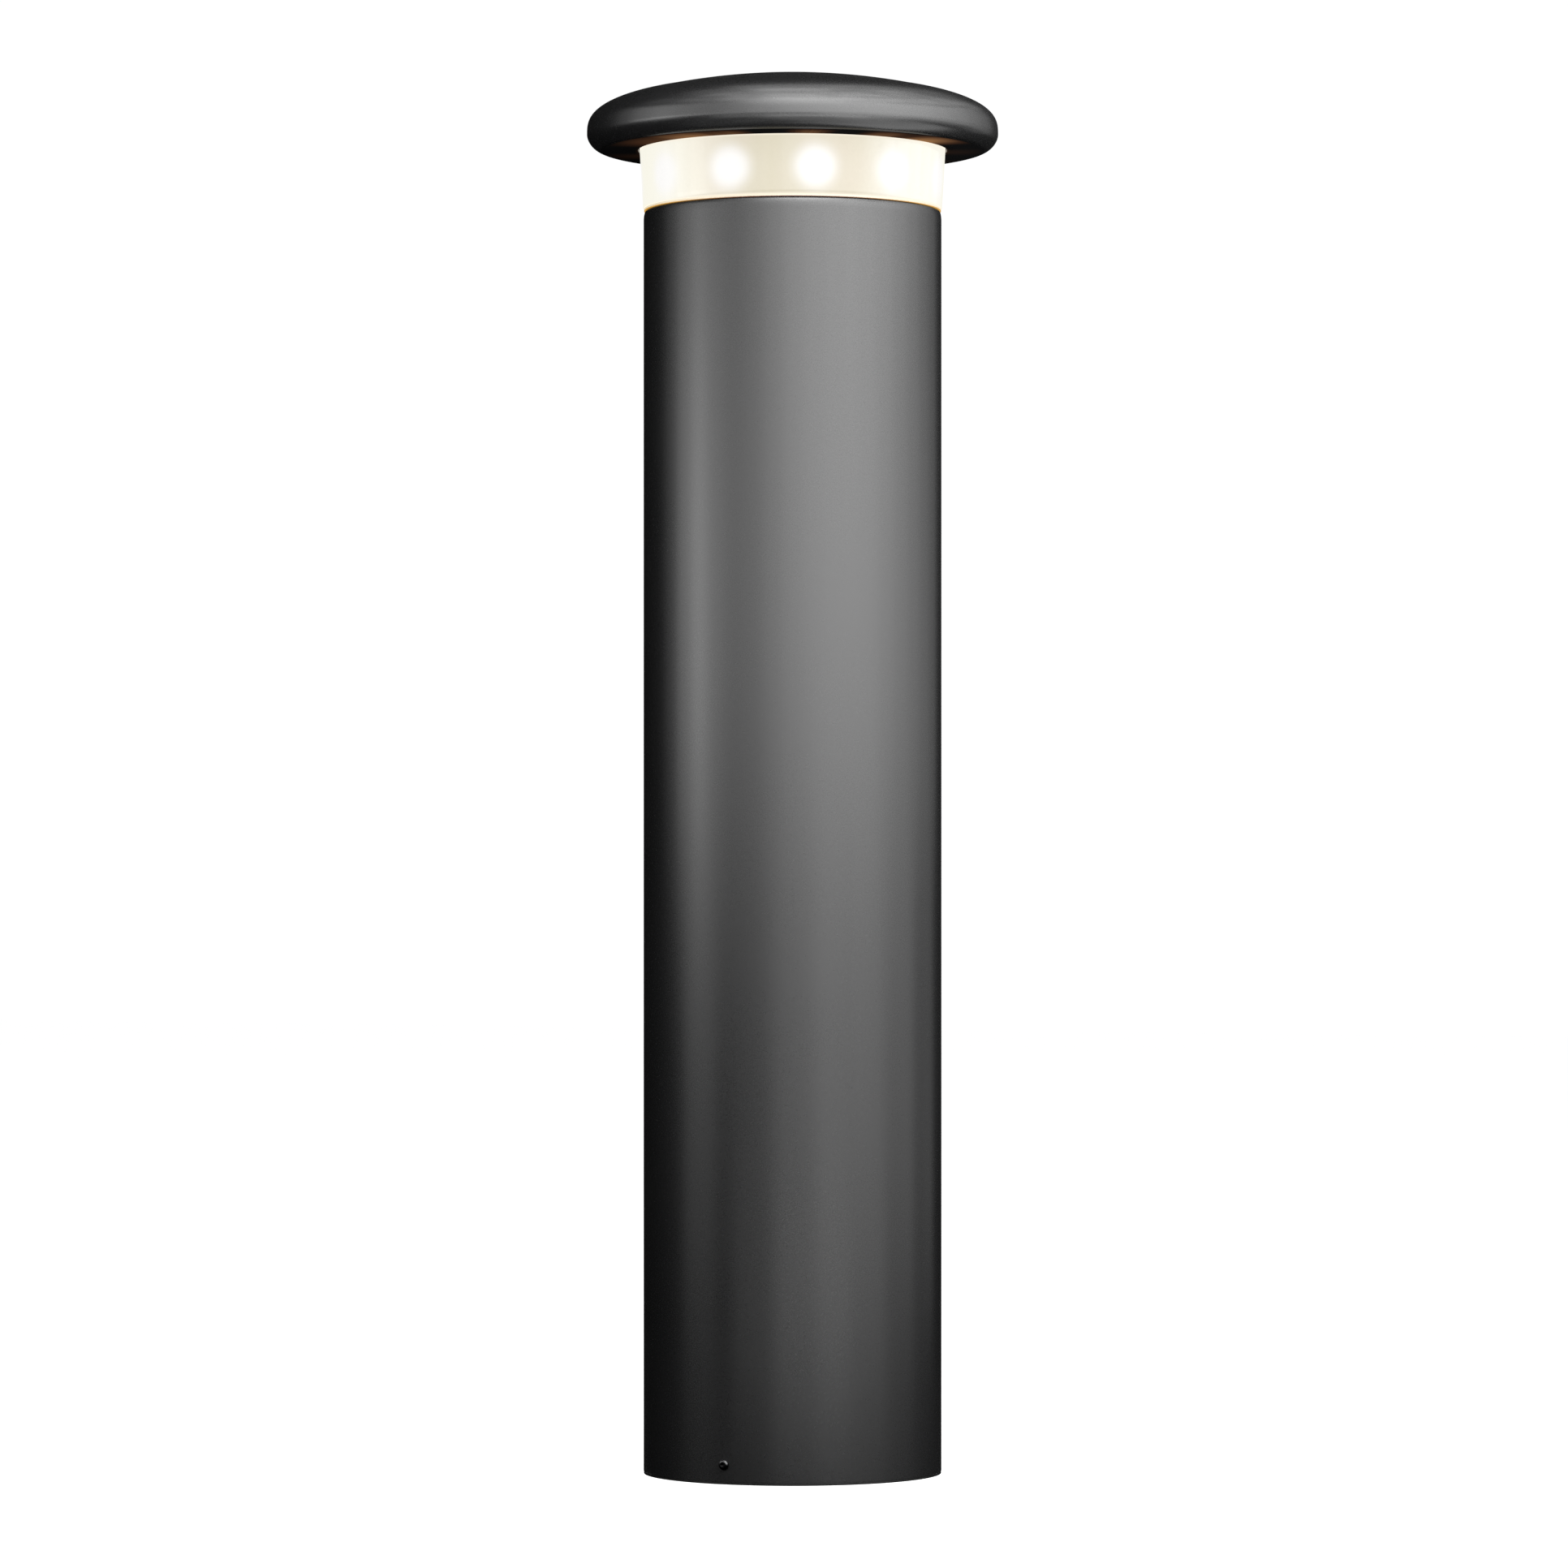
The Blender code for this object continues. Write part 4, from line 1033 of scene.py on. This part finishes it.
# angle, power between 0.5 and 1 m, power between 1 and 2 m
for az, low, mid in ((-105, 0.14, 0.14), (-90, 0.90, 0.53), (-75, 1.90, 0.89), (-60, 1.23, 0.77),
                     (-45, 0.96, 0.67), (-30, 1.06, 0.95), (-15, 1.45, 1.42), (0, 1.82, 1.94),
                     (15, 2.05, 2.28), (30, 2.18, 2.47), (45, 2.16, 2.61), (60, 2.02, 2.38),
                     (75, 1.58, 2.04), (90, 1.10, 1.42), (105, 0.68, 0.84), (120, 0.34, 0.38),
                     (135, 0.14, 0.16)):
    softbox("strip_%d" % az, az, 2.2, 0.5, 1.0, STRIP, low, aim=0.75)
    softbox("tall_%d" % az, az, 2.2, 1.0, 2.0, STRIP, mid, aim=0.75)
for az, power in ((-75, 0.20), (0, 0.2), (30, 0.5), (60, 0.66), (90, 0.46), (120, 0.14)):
    softbox("foot_%d" % az, az, 2.2, 0.0, 0.5, 2 * STRIP, power)
for az, power in ((-45, 0.30), (-15, 1.5), (15, 2.3), (45, 1.8), (75, 1.0), (105, 0.50), (135, 0.2)):
    softbox("upper_%d" % az, az, 2.2, 2.0, 2.5, 2 * STRIP, power, aim=0.75)
for az, power in ((-90, 0.17), (-60, 0.61), (-30, 1.54), (0, 3.2), (30, 3.1), (60, 2.3),
                  (90, 1.42), (120, 0.60), (150, 0.13)):
    softbox("high_%d" % az, az, 1.7, 2.15, 2.75, 0.9, power, aim=0.7)
for az, power in ((-90, 0.11), (-60, 0.36), (-30, 1.19), (0, 1.8), (30, 1.7), (60, 1.3),
                  (90, 0.98), (120, 0.52), (150, 0.35)):
    softbox("steep_%d" % az, az, 1.25, 2.55, 3.05, 0.8, power, aim=0.9)
for az, power in ((-120, 0.23), (-60, 0.87), (0, 1.85), (60, 1.60), (120, 0.72), (180, 0.44)):
    softbox("top_%d" % az, az, 0.8, 2.6, 3.2, 0.8, power, aim=0.8)
softbox("overhead", 0, 0.001, 2.6, 3.4, 0.8, 1.56, aim=0.8)
for az, near, far in ((-30, 0.62, 1.0), (0, 1.70, 1.15), (30, 1.75, 1.38), (60, 0.34, 0.9)):
    for name, dist, power in (("near", 1.6, near), ("far", 2.4, far)):
        panel = softbox("floor_%s_%d" % (name, az), az, dist, -0.28, 0.22, 0.54 * dist, power)
        panel.rotation_euler = (math.pi, 0.0, VIEW_AZ + math.radians(az))

# fill that only the cap receives: from below its rim and along its shoulder
cap_only = bpy.data.collections.new("cap_only")
cap_only.objects.link(cap)
for az, power in ((-45, 0.08), (0, 0.52), (45, 0.78), (90, 0.70)):
    panel = softbox("rim_fill_%d" % az, az, 0.48, 0.10, 0.80, 0.5, power)
    panel.location.z = 0.45
    panel.rotation_euler = (math.pi, 0.0, VIEW_AZ + math.radians(az))
    panel.light_linking.receiver_collection = cap_only
for az, power in ((-30, 0.10), (0, 0.25), (25, 0.62), (50, 0.62), (75, 0.20)):
    panel = softbox("lip_fill_%d" % az, az, 1.3, 0.16, 0.76, 0.56, power, aim=0.98)
    panel.light_linking.receiver_collection = cap_only
for az, power in ((-6, 0.55), (18, 0.30)):
    panel = softbox("brow_fill_%d" % az, az, 2.0, 1.6, 2.5, 0.84, power, aim=0.98)
    panel.light_linking.receiver_collection = cap_only

# light on the column's rolled top edge only
column_only = bpy.data.collections.new("column_only")
column_only.objects.link(column)
for az, power in ((-8, 1.0), (16, 1.7), (40, 0.8)):
    panel = softbox("edge_fill_%d" % az, az, 1.8, 2.1, 2.7, 0.75, power, aim=0.92)
    panel.light_linking.receiver_collection = column_only

# soft light from below on the column's far side, as a pale floor gives
for az, power in ((165, 0.9), (195, 0.9)):
    panel = softbox("back_fill_%d" % az, az, 2.0, -1.25, -0.35, 0.9, power, aim=0.5)
    panel.light_linking.receiver_collection = column_only

cam_data = bpy.data.cameras.new("camera")
camera = link(bpy.data.objects.new("camera", cam_data))
CAM_D = 4.725
camera.location = (math.sin(VIEW_AZ) * CAM_D, -math.cos(VIEW_AZ) * CAM_D, 0.4257)
camera.rotation_euler = (math.pi / 2, 0.0, VIEW_AZ)
cam_data.sensor_width = 36.0
cam_data.lens = 7911.0 / 1932.0 * 36.0
cam_data.shift_x = -10.53 / 1932.0
cam_data.shift_y = 135.46 / 1932.0
cam_data.dof.use_dof = False
scene.camera = camera
scene.view_settings.view_transform = 'Standard'
scene.view_settings.look = 'None'
